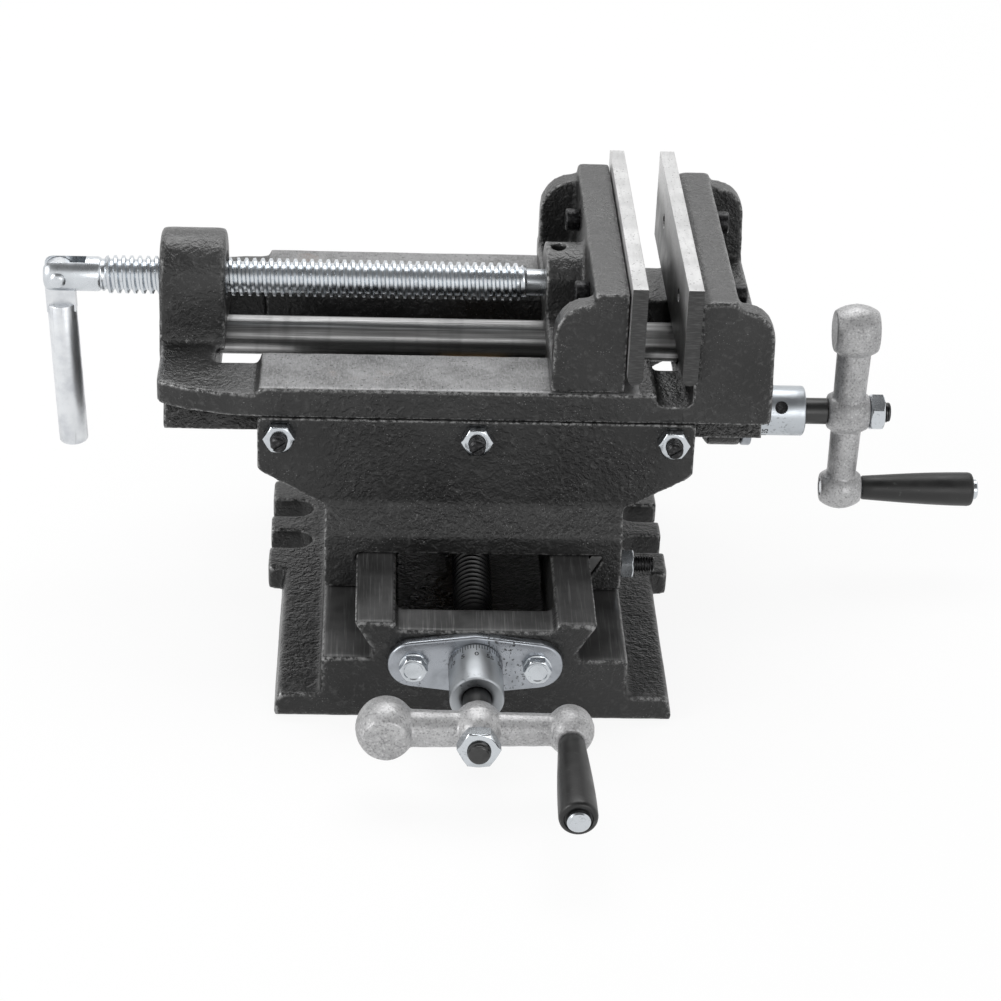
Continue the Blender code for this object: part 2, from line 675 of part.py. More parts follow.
def make_front_flange(frame):
    face = -HALF_LENGTH - GAP
    outline = oval_flange((0, FRONT_SCREW_Z), FRONT_FLANGE_RADIUS, FRONT_FLANGE_END_RADIUS,
                          FRONT_FLANGE_BOLT_OFFSET)
    made = piece("front_bearing_flange", prism(outline, "y", face - FLANGE_THICKNESS, face),
                 frame, "zinc")
    cuts = [rod("y", (0, FRONT_SCREW_Z), JOURNAL_RADIUS + GAP, face - 9, face + 5)]
    for name, sign in (("left", -1), ("right", 1)):
        centre = (sign * FRONT_FLANGE_BOLT_OFFSET, FRONT_SCREW_Z)
        cuts.append(rod("y", centre, FLANGE_BOLT_RADIUS + GAP, face - 9, face + 5, 16))
        seat = face - FLANGE_THICKNESS - GAP
        end = -HALF_LENGTH + FLANGE_BOLT_LENGTH
        full = hexagon(FLANGE_BOLT_ACROSS)
        rim = FLANGE_BOLT_ACROSS / 2 * 0.96
        sections = [(seat - FLANGE_BOLT_HEAD, rim), (seat - FLANGE_BOLT_HEAD + 0.5, full),
                    (seat, full), (seat, FLANGE_BOLT_RADIUS), (end, FLANGE_BOLT_RADIUS)]
        piece(f"front_flange_bolt_{name}", turned("y", centre, sections), frame, "zinc")
    shape(made, frame, cuts)


def make_side_flange(frame):
    face = LUG_RIGHT + GAP
    outer = face + FLANGE_THICKNESS
    centre = (SADDLE_Y, SIDE_SCREW_Z)
    outline = oval_flange(centre, SIDE_FLANGE_RADIUS, SIDE_FLANGE_END_RADIUS,
                          SIDE_FLANGE_BOLT_OFFSET)
    made = piece("side_bearing_flange", prism(outline, "x", face, outer), frame, "zinc")
    cuts = [rod("x", centre, JOURNAL_RADIUS + GAP, face - 5, outer + 5)]
    sink = SIDE_BOLT_HEAD_RADIUS - SIDE_BOLT_RADIUS
    for name, sign in (("front", -1), ("rear", 1)):
        bolt = (SADDLE_Y + sign * SIDE_FLANGE_BOLT_OFFSET, SIDE_SCREW_Z)
        wide, narrow = SIDE_BOLT_HEAD_RADIUS + GAP, SIDE_BOLT_RADIUS + GAP
        sections = [(face - 5, narrow), (outer - sink - 0.5, narrow), (outer - 0.5, wide),
                    (outer + 5, wide)]
        cuts.append(turned("x", bolt, sections, 16))
        head = outer - 0.5
        sections = [(LUG_RIGHT - FLANGE_BOLT_LENGTH + 1, SIDE_BOLT_RADIUS),
                    (head - sink, SIDE_BOLT_RADIUS), (head, SIDE_BOLT_HEAD_RADIUS),
                    (head + 0.3, SIDE_BOLT_HEAD_RADIUS)]
        piece(f"side_flange_screw_{name}", turned("x", bolt, sections, 16), frame, "zinc")
    shape(made, frame, cuts)


class Drive:
    """Where one lead screw and its crank lie: outward is -1 towards -Y, or 1 towards +X."""

    def __init__(self, name, axis, centre, outward, flange_face, thread_end, turn, reach):
        self.name = name
        self.big_reach, self.small_reach = reach
        self.axis = axis
        self.centre = centre
        self.outward = outward
        self.thread_end = thread_end
        self.turn = turn
        self.shoulder = flange_face - outward * (FLANGE_THICKNESS + GAP)
        self.collar = flange_face + outward * GAP
        self.collar_end = self.collar + outward * COLLAR_LENGTH
        self.hub = self.collar_end + outward * CRANK_GAP
        self.hub_end = self.hub + outward * HUB_THICKNESS
        self.nut = self.hub_end + outward * GAP
        self.nut_end = self.nut + outward * CRANK_NUT_THICKNESS
        self.stud_end = self.nut_end + outward * STUD_PROUD

    def at(self, along):
        return Vector(place(self.axis, *self.centre, along))


def make_lead_screw(drive, frame):
    out = drive.outward
    hub_seat = drive.hub - out * GAP
    sections = [(drive.thread_end, SCREW_RADIUS - 1.0),
                (drive.thread_end + out * 1.0, SCREW_RADIUS),
                (drive.shoulder - out * GAP, SCREW_RADIUS),
                (drive.shoulder - out * GAP, JOURNAL_RADIUS),
                (hub_seat, JOURNAL_RADIUS), (hub_seat, STUD_RADIUS),
                (drive.stud_end - out * 0.7, STUD_RADIUS), (drive.stud_end, STUD_RADIUS - 0.7)]
    piece(f"{drive.name}_leadscrew", turned(drive.axis, drive.centre, sections), frame,
          "black_steel")


def make_dial_collar(drive, frame, angle):
    """The collar, with a radial hole for its set screw at an angle round the axis."""
    out = drive.outward
    bore = JOURNAL_RADIUS + GAP
    sections = [(drive.collar, bore), (drive.collar, COLLAR_RADIUS - 0.3),
                (drive.collar + out * 0.3, COLLAR_RADIUS),
                (drive.collar_end - out * 1.2, COLLAR_RADIUS),
                (drive.collar_end, COLLAR_RADIUS - 1.2), (drive.collar_end, bore)]
    collar = piece(f"{drive.name}_dial_collar",
                   turned(drive.axis, drive.centre, sections, 32, ring=True), frame, "zinc")
    along = drive.collar_end - out * COLLAR_SCREW_FROM_END
    direction = Vector(place(drive.axis, math.cos(angle), math.sin(angle), 0.0))
    spin = Vector((0, 0, 1)).rotation_difference(direction).to_matrix().to_4x4()
    move = Matrix.Translation(drive.at(along)) @ spin
    hole = rod("z", (0, 0), COLLAR_SCREW_RADIUS + GAP, 3, COLLAR_RADIUS + 4, 16)
    hole.transform(move)
    shape(collar, frame, [hole])
    low = JOURNAL_RADIUS + GAP
    screw = rod("z", (0, 0), COLLAR_SCREW_RADIUS, low, low + COLLAR_SCREW_LENGTH, 16)
    screw.transform(move)
    piece(f"{drive.name}_collar_setscrew", screw, frame, "black_steel")


def crank_meshes(drive):
    """The crank in its own frame: bar along Z with the big ball up, screw axis along X."""
    hub = turned("x", (0, 0), drum(HUB_RADIUS, HUB_THICKNESS, HUB_RADIUS * 0.72), 24)
    big = turned("x", (0, drive.big_reach),
                 drum(BIG_BALL_RADIUS, BIG_BALL_THICKNESS, BIG_BALL_RADIUS * 0.76), 24)
    small = turned("x", (0, -drive.small_reach),
                   drum(SMALL_BALL_RADIUS, SMALL_BALL_THICKNESS, SMALL_BALL_RADIUS * 0.62), 24)
    arms = turned("z", (0, 0), [(-drive.small_reach, SMALL_ARM_RADIUS * 0.97),
                                (-1.0, SMALL_ARM_RADIUS), (1.0, BIG_ARM_RADIUS * 0.97),
                                (drive.big_reach, BIG_ARM_RADIUS)], 20)
    return hub, [arms, big, small]


def crank_cuts(drive):
    hub_half = HUB_THICKNESS / 2 + 5
    ball_half = SMALL_BALL_THICKNESS / 2
    grip = (0, -drive.small_reach)
    recess = [(-ball_half - 5, RIVET_RADIUS + GAP), (-ball_half + RIVET_RECESS, RIVET_RADIUS + GAP),
              (-ball_half + RIVET_RECESS, GRIP_PIN_RADIUS + GAP),
              (ball_half + 5, GRIP_PIN_RADIUS + GAP)]
    return [rod("x", (0, 0), STUD_RADIUS + GAP, -hub_half, hub_half),
            turned("x", grip, recess, 16)]


def make_crank(drive, frame, grip_frame):
    """Crank, nut, grip and grip pin, modelled in the crank's frame and turned into place."""
    middle = drive.at((drive.hub + drive.hub_end) / 2)
    local = Frame(f"{drive.name}_crank_frame", frame.origin, frame)
    local.empty.location = (middle - frame.origin) * MM
    local.empty.rotation_mode = "QUATERNION"
    local.empty.rotation_quaternion = drive.turn.to_quaternion()
    local.origin = Vector((0, 0, 0))
    hub, joined = crank_meshes(drive)
    crank = piece(f"{drive.name}_crank", hub, local, "aluminium")
    shape(crank, local, joined, "UNION")
    shape(crank, local, crank_cuts(drive))
    start = HUB_THICKNESS / 2 + GAP
    nut(f"{drive.name}_crank_nut", local, "x", (0, 0), CRANK_NUT_ACROSS, STUD_RADIUS + GAP,
        start, start + CRANK_NUT_THICKNESS)
    grip_local = Frame(f"{drive.name}_grip_turn", grip_frame.origin, grip_frame)
    grip_local.empty.rotation_mode = "QUATERNION"
    grip_local.empty.rotation_quaternion = drive.turn.to_quaternion()
    grip_local.origin = Vector((0, 0, -drive.small_reach))
    make_grip(drive, local, grip_local)


def make_grip(drive, crank_frame, grip_frame):
    name = drive.name
    centre = (0, -drive.small_reach)
    low = SMALL_BALL_THICKNESS / 2 + GAP
    high = low + GRIP_LENGTH
    bore = GRIP_PIN_RADIUS + GAP
    waist = (GRIP_NECK_RADIUS + GRIP_END_RADIUS) / 2 + 0.5
    sections = [(low, bore), (low, GRIP_NECK_RADIUS), (low + GRIP_LENGTH * 0.3, waist),
                (low + GRIP_LENGTH * 0.6, GRIP_END_RADIUS - 0.2),
                (high - 2.0, GRIP_END_RADIUS), (high, GRIP_END_RADIUS - 1.4), (high, bore)]
    piece(f"{name}_grip", turned("x", centre, sections, 24, ring=True), grip_frame, "plastic")
    rivet = -SMALL_BALL_THICKNESS / 2 + RIVET_RECESS - GAP
    head = high + GAP
    sections = [(rivet - 1.0, RIVET_RADIUS - 0.6), (rivet, RIVET_RADIUS), (rivet, GRIP_PIN_RADIUS),
                (head, GRIP_PIN_RADIUS), (head, GRIP_PIN_HEAD_RADIUS),
                (head + GRIP_PIN_HEAD, GRIP_PIN_HEAD_RADIUS - 0.4)]
    piece(f"{name}_grip_pin", turned("x", centre, sections, 20), crank_frame, "zinc")


# Vise body

def body_outline():
    """The slab seen from above: its left end narrows along a shallow curve."""
    front = [(BODY_RIGHT, -BODY_HALF_DEPTH, 2.5)]
    run = BODY_TAPER_END - BODY_LEFT
    drop = BODY_HALF_DEPTH - BODY_LEFT_HALF_DEPTH
    for step in (0.0, 0.35, 0.7):
        front.append((BODY_TAPER_END - run * step, -BODY_HALF_DEPTH + drop * step * step, 0))
    front.append((BODY_LEFT, -BODY_LEFT_HALF_DEPTH, 4.0))
    rear = [(x, -y, r) for x, y, r in reversed(front)]
    return [(x, y + SADDLE_Y) for x, y in rounded(front + rear)]


def make_vise_body(frame):
    bottom = SADDLE_TOP_Z + GAP
    body = piece("vise_body", prism(body_outline(), "z", bottom, BODY_SLAB_Z), frame, "cast")
    joined = []
    for sign in (-1, 1):
        rail = sorted((SADDLE_Y + sign * RAIL_INNER, SADDLE_Y + sign * (BODY_HALF_DEPTH - 0.02)))
        joined.append(block((RAIL_LEFT, BODY_RIGHT - 0.5), rail, (bottom + 1, RAIL_Z)))
    joined += [table_way(), spindle_boss(), bearing_lug(), fixed_jaw_base(), fixed_jaw_wall()]
    for sign in (-1, 1):
        joined.append(fixed_jaw_ear(sign))
    shape(body, frame, joined, "UNION")
    shape(body, frame, body_cuts())
    return body


def table_way():
    """The dovetail under the slab, before the middle is opened."""
    high = SADDLE_TOP_Z + GAP + 1
    outline = [(-table_flank(TABLE_WAY_Z), TABLE_WAY_Z), (table_flank(TABLE_WAY_Z), TABLE_WAY_Z),
               (table_flank(high), high), (-table_flank(high), high)]
    outline = [(y + SADDLE_Y, z) for y, z in outline]
    return prism(outline, "x", BODY_LEFT + 1.5, BODY_RIGHT - 0.8)


def spindle_boss():
    """The upright at the left end, round over the spindle."""
    outline = arc((SADDLE_Y, SPINDLE_Z), BOSS_RADIUS, 0, 180, 12)
    base_z = SADDLE_TOP_Z + 2
    outline += [(SADDLE_Y - BOSS_RADIUS, RAIL_Z + 3.0), (SADDLE_Y - BOSS_FOOT_HALF, base_z),
                (SADDLE_Y + BOSS_FOOT_HALF, base_z), (SADDLE_Y + BOSS_RADIUS, RAIL_Z + 3.0)]
    return prism(outline, "x", BODY_LEFT - 1.0, BOSS_RIGHT)


def bearing_lug():
    """The lug under the right end that carries the side lead screw."""
    offset = SIDE_FLANGE_BOLT_OFFSET
    end = SIDE_FLANGE_END_RADIUS
    outline = oval_flange((SADDLE_Y, SIDE_SCREW_Z), SIDE_FLANGE_RADIUS, end, offset)
    lower = [(y, z) for y, z in outline if z <= SIDE_SCREW_Z + 0.01]
    lower.sort(key=lambda point: point[0])
    high = TABLE_WAY_Z + 3
    lower += [(SADDLE_Y + offset + end, high), (SADDLE_Y - offset - end, high)]
    return prism(lower, "x", LUG_LEFT, LUG_RIGHT)


def fixed_jaw_base():
    return block((NOTCH_RIGHT, BODY_RIGHT - 0.4),
                 (SADDLE_Y - BODY_HALF_DEPTH + 0.3, SADDLE_Y + BODY_HALF_DEPTH - 0.3),
                 (TABLE_WAY_Z + 14, RAIL_Z + 4.0))


def fixed_jaw_wall():
    """The fixed jaw seen from its end, with the ledge that the plate stands over."""
    face = FIXED_FACE_X + PLATE_THICKNESS + GAP
    ledge = PLATE_BOTTOM_Z - GAP
    back = face + JAW_WALL + 1.0
    outline = [(NOTCH_RIGHT, RAIL_Z + 1.0, 0), (NOTCH_RIGHT, ledge, 0.8), (face, ledge, 0),
               (face, FIXED_JAW_TOP_Z - 0.9, 0.6), (face + 2.3, FIXED_JAW_TOP_Z - 0.9, 0),
               (face + 2.3, FIXED_JAW_TOP_Z, 0.8), (back, FIXED_JAW_TOP_Z, 1.5),
               (back, JAW_WALL_FOOT_Z, 0), (back + 1.5, RAIL_Z + JAW_RISE * 9 / 39, 4.0),
               (back + 6.0, RAIL_Z + 1.0, 0)]
    return prism(rounded(outline), "y", SADDLE_Y - JAW_CAST_HALF, SADDLE_Y + JAW_CAST_HALF)


def fixed_jaw_ear(sign):
    """The cheek at one end of the fixed jaw, with its round shoulder."""
    face = FIXED_FACE_X + PLATE_THICKNESS + GAP
    back = face + JAW_WALL + 1.0
    outline = [(face + 3, RAIL_Z + 1.0, 0), (face + 3, FIXED_JAW_TOP_Z - 1.5, 0),
               (back + 1.5, FIXED_JAW_TOP_Z - 3.0, 0),
               (BODY_RIGHT - 1.4, FIXED_JAW_TOP_Z - 4.5, EAR_SHOULDER_RADIUS - 1.5),
               (BODY_RIGHT - 0.6, RAIL_Z + 1.0, 0)]
    outer = SADDLE_Y + sign * (BODY_HALF_DEPTH - 0.1)
    inner = outer - sign * EAR_THICKNESS
    return prism(rounded(outline, 5), "y", min(inner, outer), max(inner, outer))


def body_cuts():
    """Opening, notches, bores and screw holes of the vise body."""
    axis = (SADDLE_Y, SPINDLE_Z)
    low, high = SADDLE_Y - OPENING_HALF, SADDLE_Y + OPENING_HALF
    opening = rectangle(BOSS_RIGHT - 3.0, NOTCH_RIGHT, low, high, 3.0)
    cuts = [prism(opening, "z", TABLE_WAY_Z - 5, BODY_SLAB_Z - 2.0)]
    upper = rectangle(BOSS_RIGHT, NOTCH_RIGHT, low - 1.0, high + 1.0, 3.0)
    cuts.append(prism(upper, "z", BODY_SLAB_Z - 2.5, RAIL_Z + 3))
    for sign in (-1, 1):
        side = sorted((SADDLE_Y + sign * (BOSS_FOOT_HALF + 0.8),
                       SADDLE_Y + sign * (OPENING_HALF + ROUGH_EXTRA)))
        rough = rectangle(BOSS_RIGHT - 3.0, RAIL_LEFT - 0.5, *side, 1.5)
        cuts.append(prism(rough, "z", TABLE_WAY_Z - 5, RAIL_Z + 3))
    notch = rounded([(NOTCH_LEFT, RAIL_Z + 3, 0), (NOTCH_LEFT, NOTCH_Z, 2.5),
                     (NOTCH_RIGHT, NOTCH_Z, 2.5), (NOTCH_RIGHT, RAIL_Z + 3, 0)])
    cuts.append(prism(notch, "y", SADDLE_Y - BODY_HALF_DEPTH - 5, SADDLE_Y + BODY_HALF_DEPTH + 5))
    cuts.append(rod("x", axis, SCREW_RADIUS + THREAD_GAP, BODY_LEFT - 5, BOSS_RIGHT + 5))
    seat = (SADDLE_Y, ROD_Z)
    cuts.append(rod("x", seat, ROD_RADIUS + GAP, ROD_LEFT - GAP, BOSS_RIGHT + 5))
    cuts.append(rod("x", seat, ROD_RADIUS + GAP, NOTCH_RIGHT - 5, ROD_RIGHT + GAP))
    centre = (SADDLE_Y, SIDE_SCREW_Z)
    cuts.append(rod("x", centre, SCREW_RADIUS + THREAD_GAP, LUG_LEFT - 5, LUG_RIGHT + 5))
    seat = oval_flange(centre, SIDE_FLANGE_RADIUS + 2 * GAP, SIDE_FLANGE_END_RADIUS + 2 * GAP,
                       SIDE_FLANGE_BOLT_OFFSET)
    cuts.append(prism(seat, "x", LUG_RIGHT, BODY_RIGHT + 5))
    for sign in (-1, 1):
        bolt = (SADDLE_Y + sign * SIDE_FLANGE_BOLT_OFFSET, SIDE_SCREW_Z)
        cuts.append(rod("x", bolt, SIDE_BOLT_RADIUS + GAP, LUG_RIGHT - FLANGE_BOLT_LENGTH,
                        LUG_RIGHT + 5, 16))
        screw = (SADDLE_Y + sign * JAW_SCREW_OFFSET, JAW_SCREW_Z)
        cuts.append(rod("x", screw, JAW_SCREW_RADIUS + GAP, FIXED_FACE_X, BODY_RIGHT - 8, 16))
    return cuts


def make_plate(name, frame, low):
    """A jaw plate with its bottom corners rounded and two tapped holes."""
    high = low + PLATE_THICKNESS
    top = PLATE_BOTTOM_Z + PLATE_HEIGHT
    outline = rounded([(low, PLATE_BOTTOM_Z, 2.4), (high, PLATE_BOTTOM_Z, 2.4),
                       (high, top, 0.3), (low, top, 0.3)])
    half = JAW_LENGTH / 2
    made = piece(name, prism(outline, "y", SADDLE_Y - half, SADDLE_Y + half), frame, "machined")
    holes = []
    for sign in (-1, 1):
        centre = (SADDLE_Y + sign * JAW_SCREW_OFFSET, JAW_SCREW_Z)
        holes.append(rod("x", centre, JAW_SCREW_RADIUS + GAP, low - 5, high + 5, 16))
    shape(made, frame, holes)


def make_plate_screws(name, frame, seat, outward, plate_face):
    """Two socket head screws, heads behind the jaw and tips inside the plate."""
    for end, sign in (("front", -1), ("rear", 1)):
        centre = (SADDLE_Y + sign * JAW_SCREW_OFFSET, JAW_SCREW_Z)
        under = seat + outward * GAP
        tip = plate_face + outward * 2.0
        sections = [(tip, JAW_SCREW_RADIUS - 0.5), (tip + outward * 0.5, JAW_SCREW_RADIUS),
                    (under, JAW_SCREW_RADIUS), (under, JAW_SCREW_HEAD_RADIUS),
                    (under + outward * JAW_SCREW_HEAD, JAW_SCREW_HEAD_RADIUS)]
        piece(f"{name}_plate_screw_{end}", turned("x", centre, sections, 20), frame,
              "black_steel")


def make_guide_rod(frame):
    sections = [(ROD_LEFT, ROD_RADIUS - 0.8), (ROD_LEFT + 0.8, ROD_RADIUS),
                (ROD_RIGHT - 0.8, ROD_RADIUS), (ROD_RIGHT, ROD_RADIUS - 0.8)]
    piece("guide_rod", turned("x", (SADDLE_Y, ROD_Z), sections, 32), frame, "machined")


# Moving jaw

def make_moving_jaw(frame):
    face = MOVING_FACE_X - PLATE_THICKNESS - GAP
    wall = face - JAW_WALL
    low = RAIL_Z + GAP
    outline = [(MOVING_EAR_LEFT, low, 0), (face, low, 0), (face, MOVING_JAW_TOP_Z, 0.8),
               (wall, MOVING_JAW_TOP_Z, 1.5), (wall, JAW_WALL_FOOT_Z, 0),
               (wall - 1.2, low + JAW_FLOOR_HEIGHT, 2.0),
               (MOVING_EAR_LEFT, low + JAW_FLOOR_HEIGHT, 1.0)]
    jaw = piece("moving_jaw", prism(rounded(outline), "y", SADDLE_Y - JAW_CAST_HALF,
                                    SADDLE_Y + JAW_CAST_HALF), frame, "cast")
    joined = [jaw_boss(wall), jaw_guide(face)]
    for sign in (-1, 1):
        joined.append(moving_jaw_ear(sign, wall))
    shape(jaw, frame, joined, "UNION")
    axis = (SADDLE_Y, SPINDLE_Z)
    cuts = [rod("x", axis, JOURNAL_RADIUS + GAP, MOVING_EAR_LEFT - 5, SPINDLE_JOURNAL_RIGHT + GAP),
            rod("x", (SADDLE_Y, ROD_Z), ROD_RADIUS + 1.2 * GAP, MOVING_EAR_LEFT - 5, face + 5, 32),
            rod("z", (RETAINING_SCREW_X, SADDLE_Y), JAW_SCREW_RADIUS + GAP, SPINDLE_Z + 2,
                SPINDLE_Z + JAW_BOSS_RADIUS + 5, 16)]
    for sign in (-1, 1):
        centre = (SADDLE_Y + sign * JAW_SCREW_OFFSET, JAW_SCREW_Z)
        cuts.append(rod("x", centre, JAW_SCREW_RADIUS + GAP, wall - 8, face + 5, 16))
    shape(jaw, frame, cuts)


def jaw_boss(wall):
    """The boss that holds the spindle's journal."""
    outline = arc((SADDLE_Y, SPINDLE_Z), JAW_BOSS_RADIUS, 28, 152, 8)
    base_z = RAIL_Z + GAP + 2
    outline += [(SADDLE_Y - JAW_BOSS_HALF, base_z), (SADDLE_Y + JAW_BOSS_HALF, base_z)]
    return prism(outline, "x", wall - JAW_BOSS_LENGTH + 0.8, wall + 4)


def jaw_guide(face):
    """The block between the rails, bored for the guide rod."""
    half = OPENING_HALF - 2.0
    outline = rounded([(-half, JAW_GUIDE_BOTTOM, 2.0), (half, JAW_GUIDE_BOTTOM, 2.0),
                       (half, RAIL_Z + GAP + 3, 0), (-half, RAIL_Z + GAP + 3, 0)])
    outline = [(y + SADDLE_Y, z) for y, z in outline]
    return prism(outline, "x", MOVING_EAR_LEFT + 1.0, face - 0.4)


def moving_jaw_ear(sign, wall):
    top = MOVING_JAW_TOP_Z - EAR_DROP
    outline = [(MOVING_EAR_LEFT + 0.3, RAIL_Z + GAP + 0.2, 1.5), (wall + 3, RAIL_Z + GAP + 0.2, 0),
               (wall + 3, top, 0), (MOVING_EAR_LEFT + 0.3, top, EAR_SHOULDER_RADIUS)]
    outer = SADDLE_Y + sign * (BODY_HALF_DEPTH + 0.1)
    inner = outer - sign * EAR_THICKNESS
    return prism(rounded(outline, 5), "y", min(inner, outer), max(inner, outer))


def make_retaining_screw(frame):
    """The grub screw whose tip lies in the groove of the spindle's journal."""
    groove = SPINDLE_Z + JOURNAL_RADIUS - 1.0 + GAP
    point = SPINDLE_GROOVE / 2 - GAP - 0.2
    sections = [(groove, point), (groove + 1.4, point), (groove + 2.2, JAW_SCREW_RADIUS),
                (groove + 8.0, JAW_SCREW_RADIUS)]
    piece("spindle_retaining_screw", turned("z", (RETAINING_SCREW_X, SADDLE_Y), sections, 16),
          frame, "black_steel")


# Spindle and handle

def make_spindle(frame):
    """Head, thread and grooved journal in one turning; the handle's slot is cut in the head."""
    sections = [(HANDLE_X - HEAD_RADIUS, 0)]
    for degrees in (25, 50, 70, 90):
        turn = math.radians(degrees)
        sections.append((HANDLE_X - HEAD_RADIUS * math.cos(turn), HEAD_RADIUS * math.sin(turn)))
    groove = SPINDLE_GROOVE / 2
    sections += [(SPINDLE_THREAD_LEFT, HEAD_RADIUS), (SPINDLE_THREAD_LEFT + 0.8, SCREW_RADIUS),
                 (SPINDLE_THREAD_RIGHT - 1.0, SCREW_RADIUS),
                 (SPINDLE_THREAD_RIGHT, JOURNAL_RADIUS),
                 (RETAINING_SCREW_X - groove, JOURNAL_RADIUS),
                 (RETAINING_SCREW_X - groove, JOURNAL_RADIUS - 1.0),
                 (RETAINING_SCREW_X + groove, JOURNAL_RADIUS - 1.0),
                 (RETAINING_SCREW_X + groove, JOURNAL_RADIUS),
                 (SPINDLE_JOURNAL_RIGHT - 0.5, JOURNAL_RADIUS),
                 (SPINDLE_JOURNAL_RIGHT, JOURNAL_RADIUS - 0.5)]
    spindle = piece("clamp_spindle", turned("x", (SADDLE_Y, SPINDLE_Z), sections, 32), frame,
                    "zinc")
    half = TONGUE_THICKNESS / 2 + GAP
    slot = block((HANDLE_X - HEAD_RADIUS - 5, SLOT_RIGHT), (SADDLE_Y - half, SADDLE_Y + half),
                 (SPINDLE_Z - HEAD_RADIUS - 5, SPINDLE_Z + HEAD_RADIUS + 5))
    hole = rod("y", (HANDLE_X, SPINDLE_Z), HANDLE_PIN_RADIUS + GAP, SADDLE_Y - HEAD_RADIUS - 5,
               SADDLE_Y + HEAD_RADIUS + 5, 16)
    shape(spindle, frame, [slot, hole])


def make_handle_pin(frame):
    reach = HEAD_RADIUS + GAP
    sections = []
    for sign in (-1, 1):
        cap = [(SADDLE_Y + sign * (reach + 1.5), HANDLE_PIN_HEAD * 0.45),
               (SADDLE_Y + sign * (reach + 0.9), HANDLE_PIN_HEAD * 0.85),
               (SADDLE_Y + sign * reach, HANDLE_PIN_HEAD),
               (SADDLE_Y + sign * reach, HANDLE_PIN_RADIUS)]
        sections += cap if sign < 0 else list(reversed(cap))
    piece("handle_pin", turned("y", (HANDLE_X, SPINDLE_Z), sections, 20), frame, "zinc")


def make_handle(frame):
    """A round bar with a flat tongue, which folds on the pin."""
    top = SPINDLE_Z - HANDLE_SHOULDER
    sections = [(HANDLE_BOTTOM, HANDLE_RADIUS - 0.8), (HANDLE_BOTTOM + 0.8, HANDLE_RADIUS),
                (top, HANDLE_RADIUS), (top + 1.6, HANDLE_RADIUS - 1.6)]
    handle = piece("spindle_handle", turned("z", (HANDLE_X, SADDLE_Y), sections), frame, "zinc")
    width = HANDLE_RADIUS - 0.02
    tongue = arc((HANDLE_X, SPINDLE_Z), width, 0, 180, 10)
    tongue += [(HANDLE_X - width, top - 4), (HANDLE_X + width, top - 4)]
    half = TONGUE_THICKNESS / 2
    shape(handle, frame, [prism(tongue, "y", SADDLE_Y - half, SADDLE_Y + half)], "UNION")
    hole = rod("y", (HANDLE_X, SPINDLE_Z), HANDLE_PIN_RADIUS + GAP, SADDLE_Y - half - 5,
               SADDLE_Y + half + 5, 16)
    shape(handle, frame, [hole])


def make_drives(base_frame, table_frame):
    """Both lead screws with their collars, cranks and grips."""
    front_face = -HALF_LENGTH - GAP - FLANGE_THICKNESS
    to_front = Matrix(((0, 0, -1), (-1, 0, 0), (0, 1, 0)))
    front = Drive("front", "y", (0, FRONT_SCREW_Z), -1, front_face,
                  front_face + FLANGE_THICKNESS + FRONT_SCREW_LENGTH, to_front, FRONT_REACH)
    side_face = LUG_RIGHT + GAP + FLANGE_THICKNESS
    side = Drive("side", "x", (SADDLE_Y, SIDE_SCREW_Z), 1, side_face, SIDE_SCREW_LEFT,
                 Matrix.Identity(3), SIDE_REACH)
    for drive, parent, angle in ((front, base_frame, math.radians(-90)),
                                 (side, table_frame, math.pi - SIDE_COLLAR_SCREW_ANGLE)):
        middle = drive.at((drive.hub + drive.hub_end) / 2)
        frame = Frame(f"{drive.name}_screw_axis", middle, parent)
        pivot = middle + drive.turn @ Vector((0, 0, -drive.small_reach))
        grip_frame = Frame(f"{drive.name}_grip_axis", pivot, frame)
        make_lead_screw(drive, frame)
        make_dial_collar(drive, frame, angle)
        make_crank(drive, frame, grip_frame)


def main():
    clear_scene()
    base_frame = Frame("base_frame", (0, 0, 0))
    saddle_frame = Frame("saddle_slide", (0, SADDLE_Y, BASE_WAY_Z), base_frame)
    table_frame = Frame("table_slide", (0, SADDLE_Y, SADDLE_TOP_Z), saddle_frame)
    jaw_frame = Frame("jaw_slide", (MOVING_FACE_X, SADDLE_Y, RAIL_Z), table_frame)
    spindle_frame = Frame("spindle_axis", (SPINDLE_THREAD_RIGHT, SADDLE_Y, SPINDLE_Z), jaw_frame)
    handle_frame = Frame("handle_axis", (HANDLE_X, SADDLE_Y, SPINDLE_Z), spindle_frame)
    handle_frame.empty.rotation_euler.y = -HANDLE_LEAN
    make_base(base_frame)
    make_front_flange(base_frame)
    make_saddle(saddle_frame)
    make_base_gib(saddle_frame)
    make_table_gib(saddle_frame)
    make_gib_screws(saddle_frame)
    make_front_lead_nut(saddle_frame)
    make_side_lead_nut(saddle_frame)
    make_vise_body(table_frame)
    make_side_flange(table_frame)
    make_plate("fixed_jaw_plate", table_frame, FIXED_FACE_X)
    wall_back = FIXED_FACE_X + PLATE_THICKNESS + GAP + JAW_WALL + 1.0
    make_plate_screws("fixed", table_frame, wall_back, 1, FIXED_FACE_X)
    make_guide_rod(table_frame)
    make_moving_jaw(jaw_frame)
    make_plate("moving_jaw_plate", jaw_frame, MOVING_FACE_X - PLATE_THICKNESS)
    wall_back = MOVING_FACE_X - PLATE_THICKNESS - GAP - JAW_WALL
    make_plate_screws("moving", jaw_frame, wall_back, -1, MOVING_FACE_X)
    make_retaining_screw(jaw_frame)
    make_spindle(spindle_frame)
    make_handle_pin(spindle_frame)
    make_handle(handle_frame)
    make_drives(base_frame, table_frame)


main()
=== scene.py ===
"""Looks for the cross slide vise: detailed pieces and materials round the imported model.

Sizes are millimetres until a mesh is made, and metres after that, in the model's own frame.
"""
import json
import math

import bmesh
import bpy
from mathutils import Matrix, Vector, noise

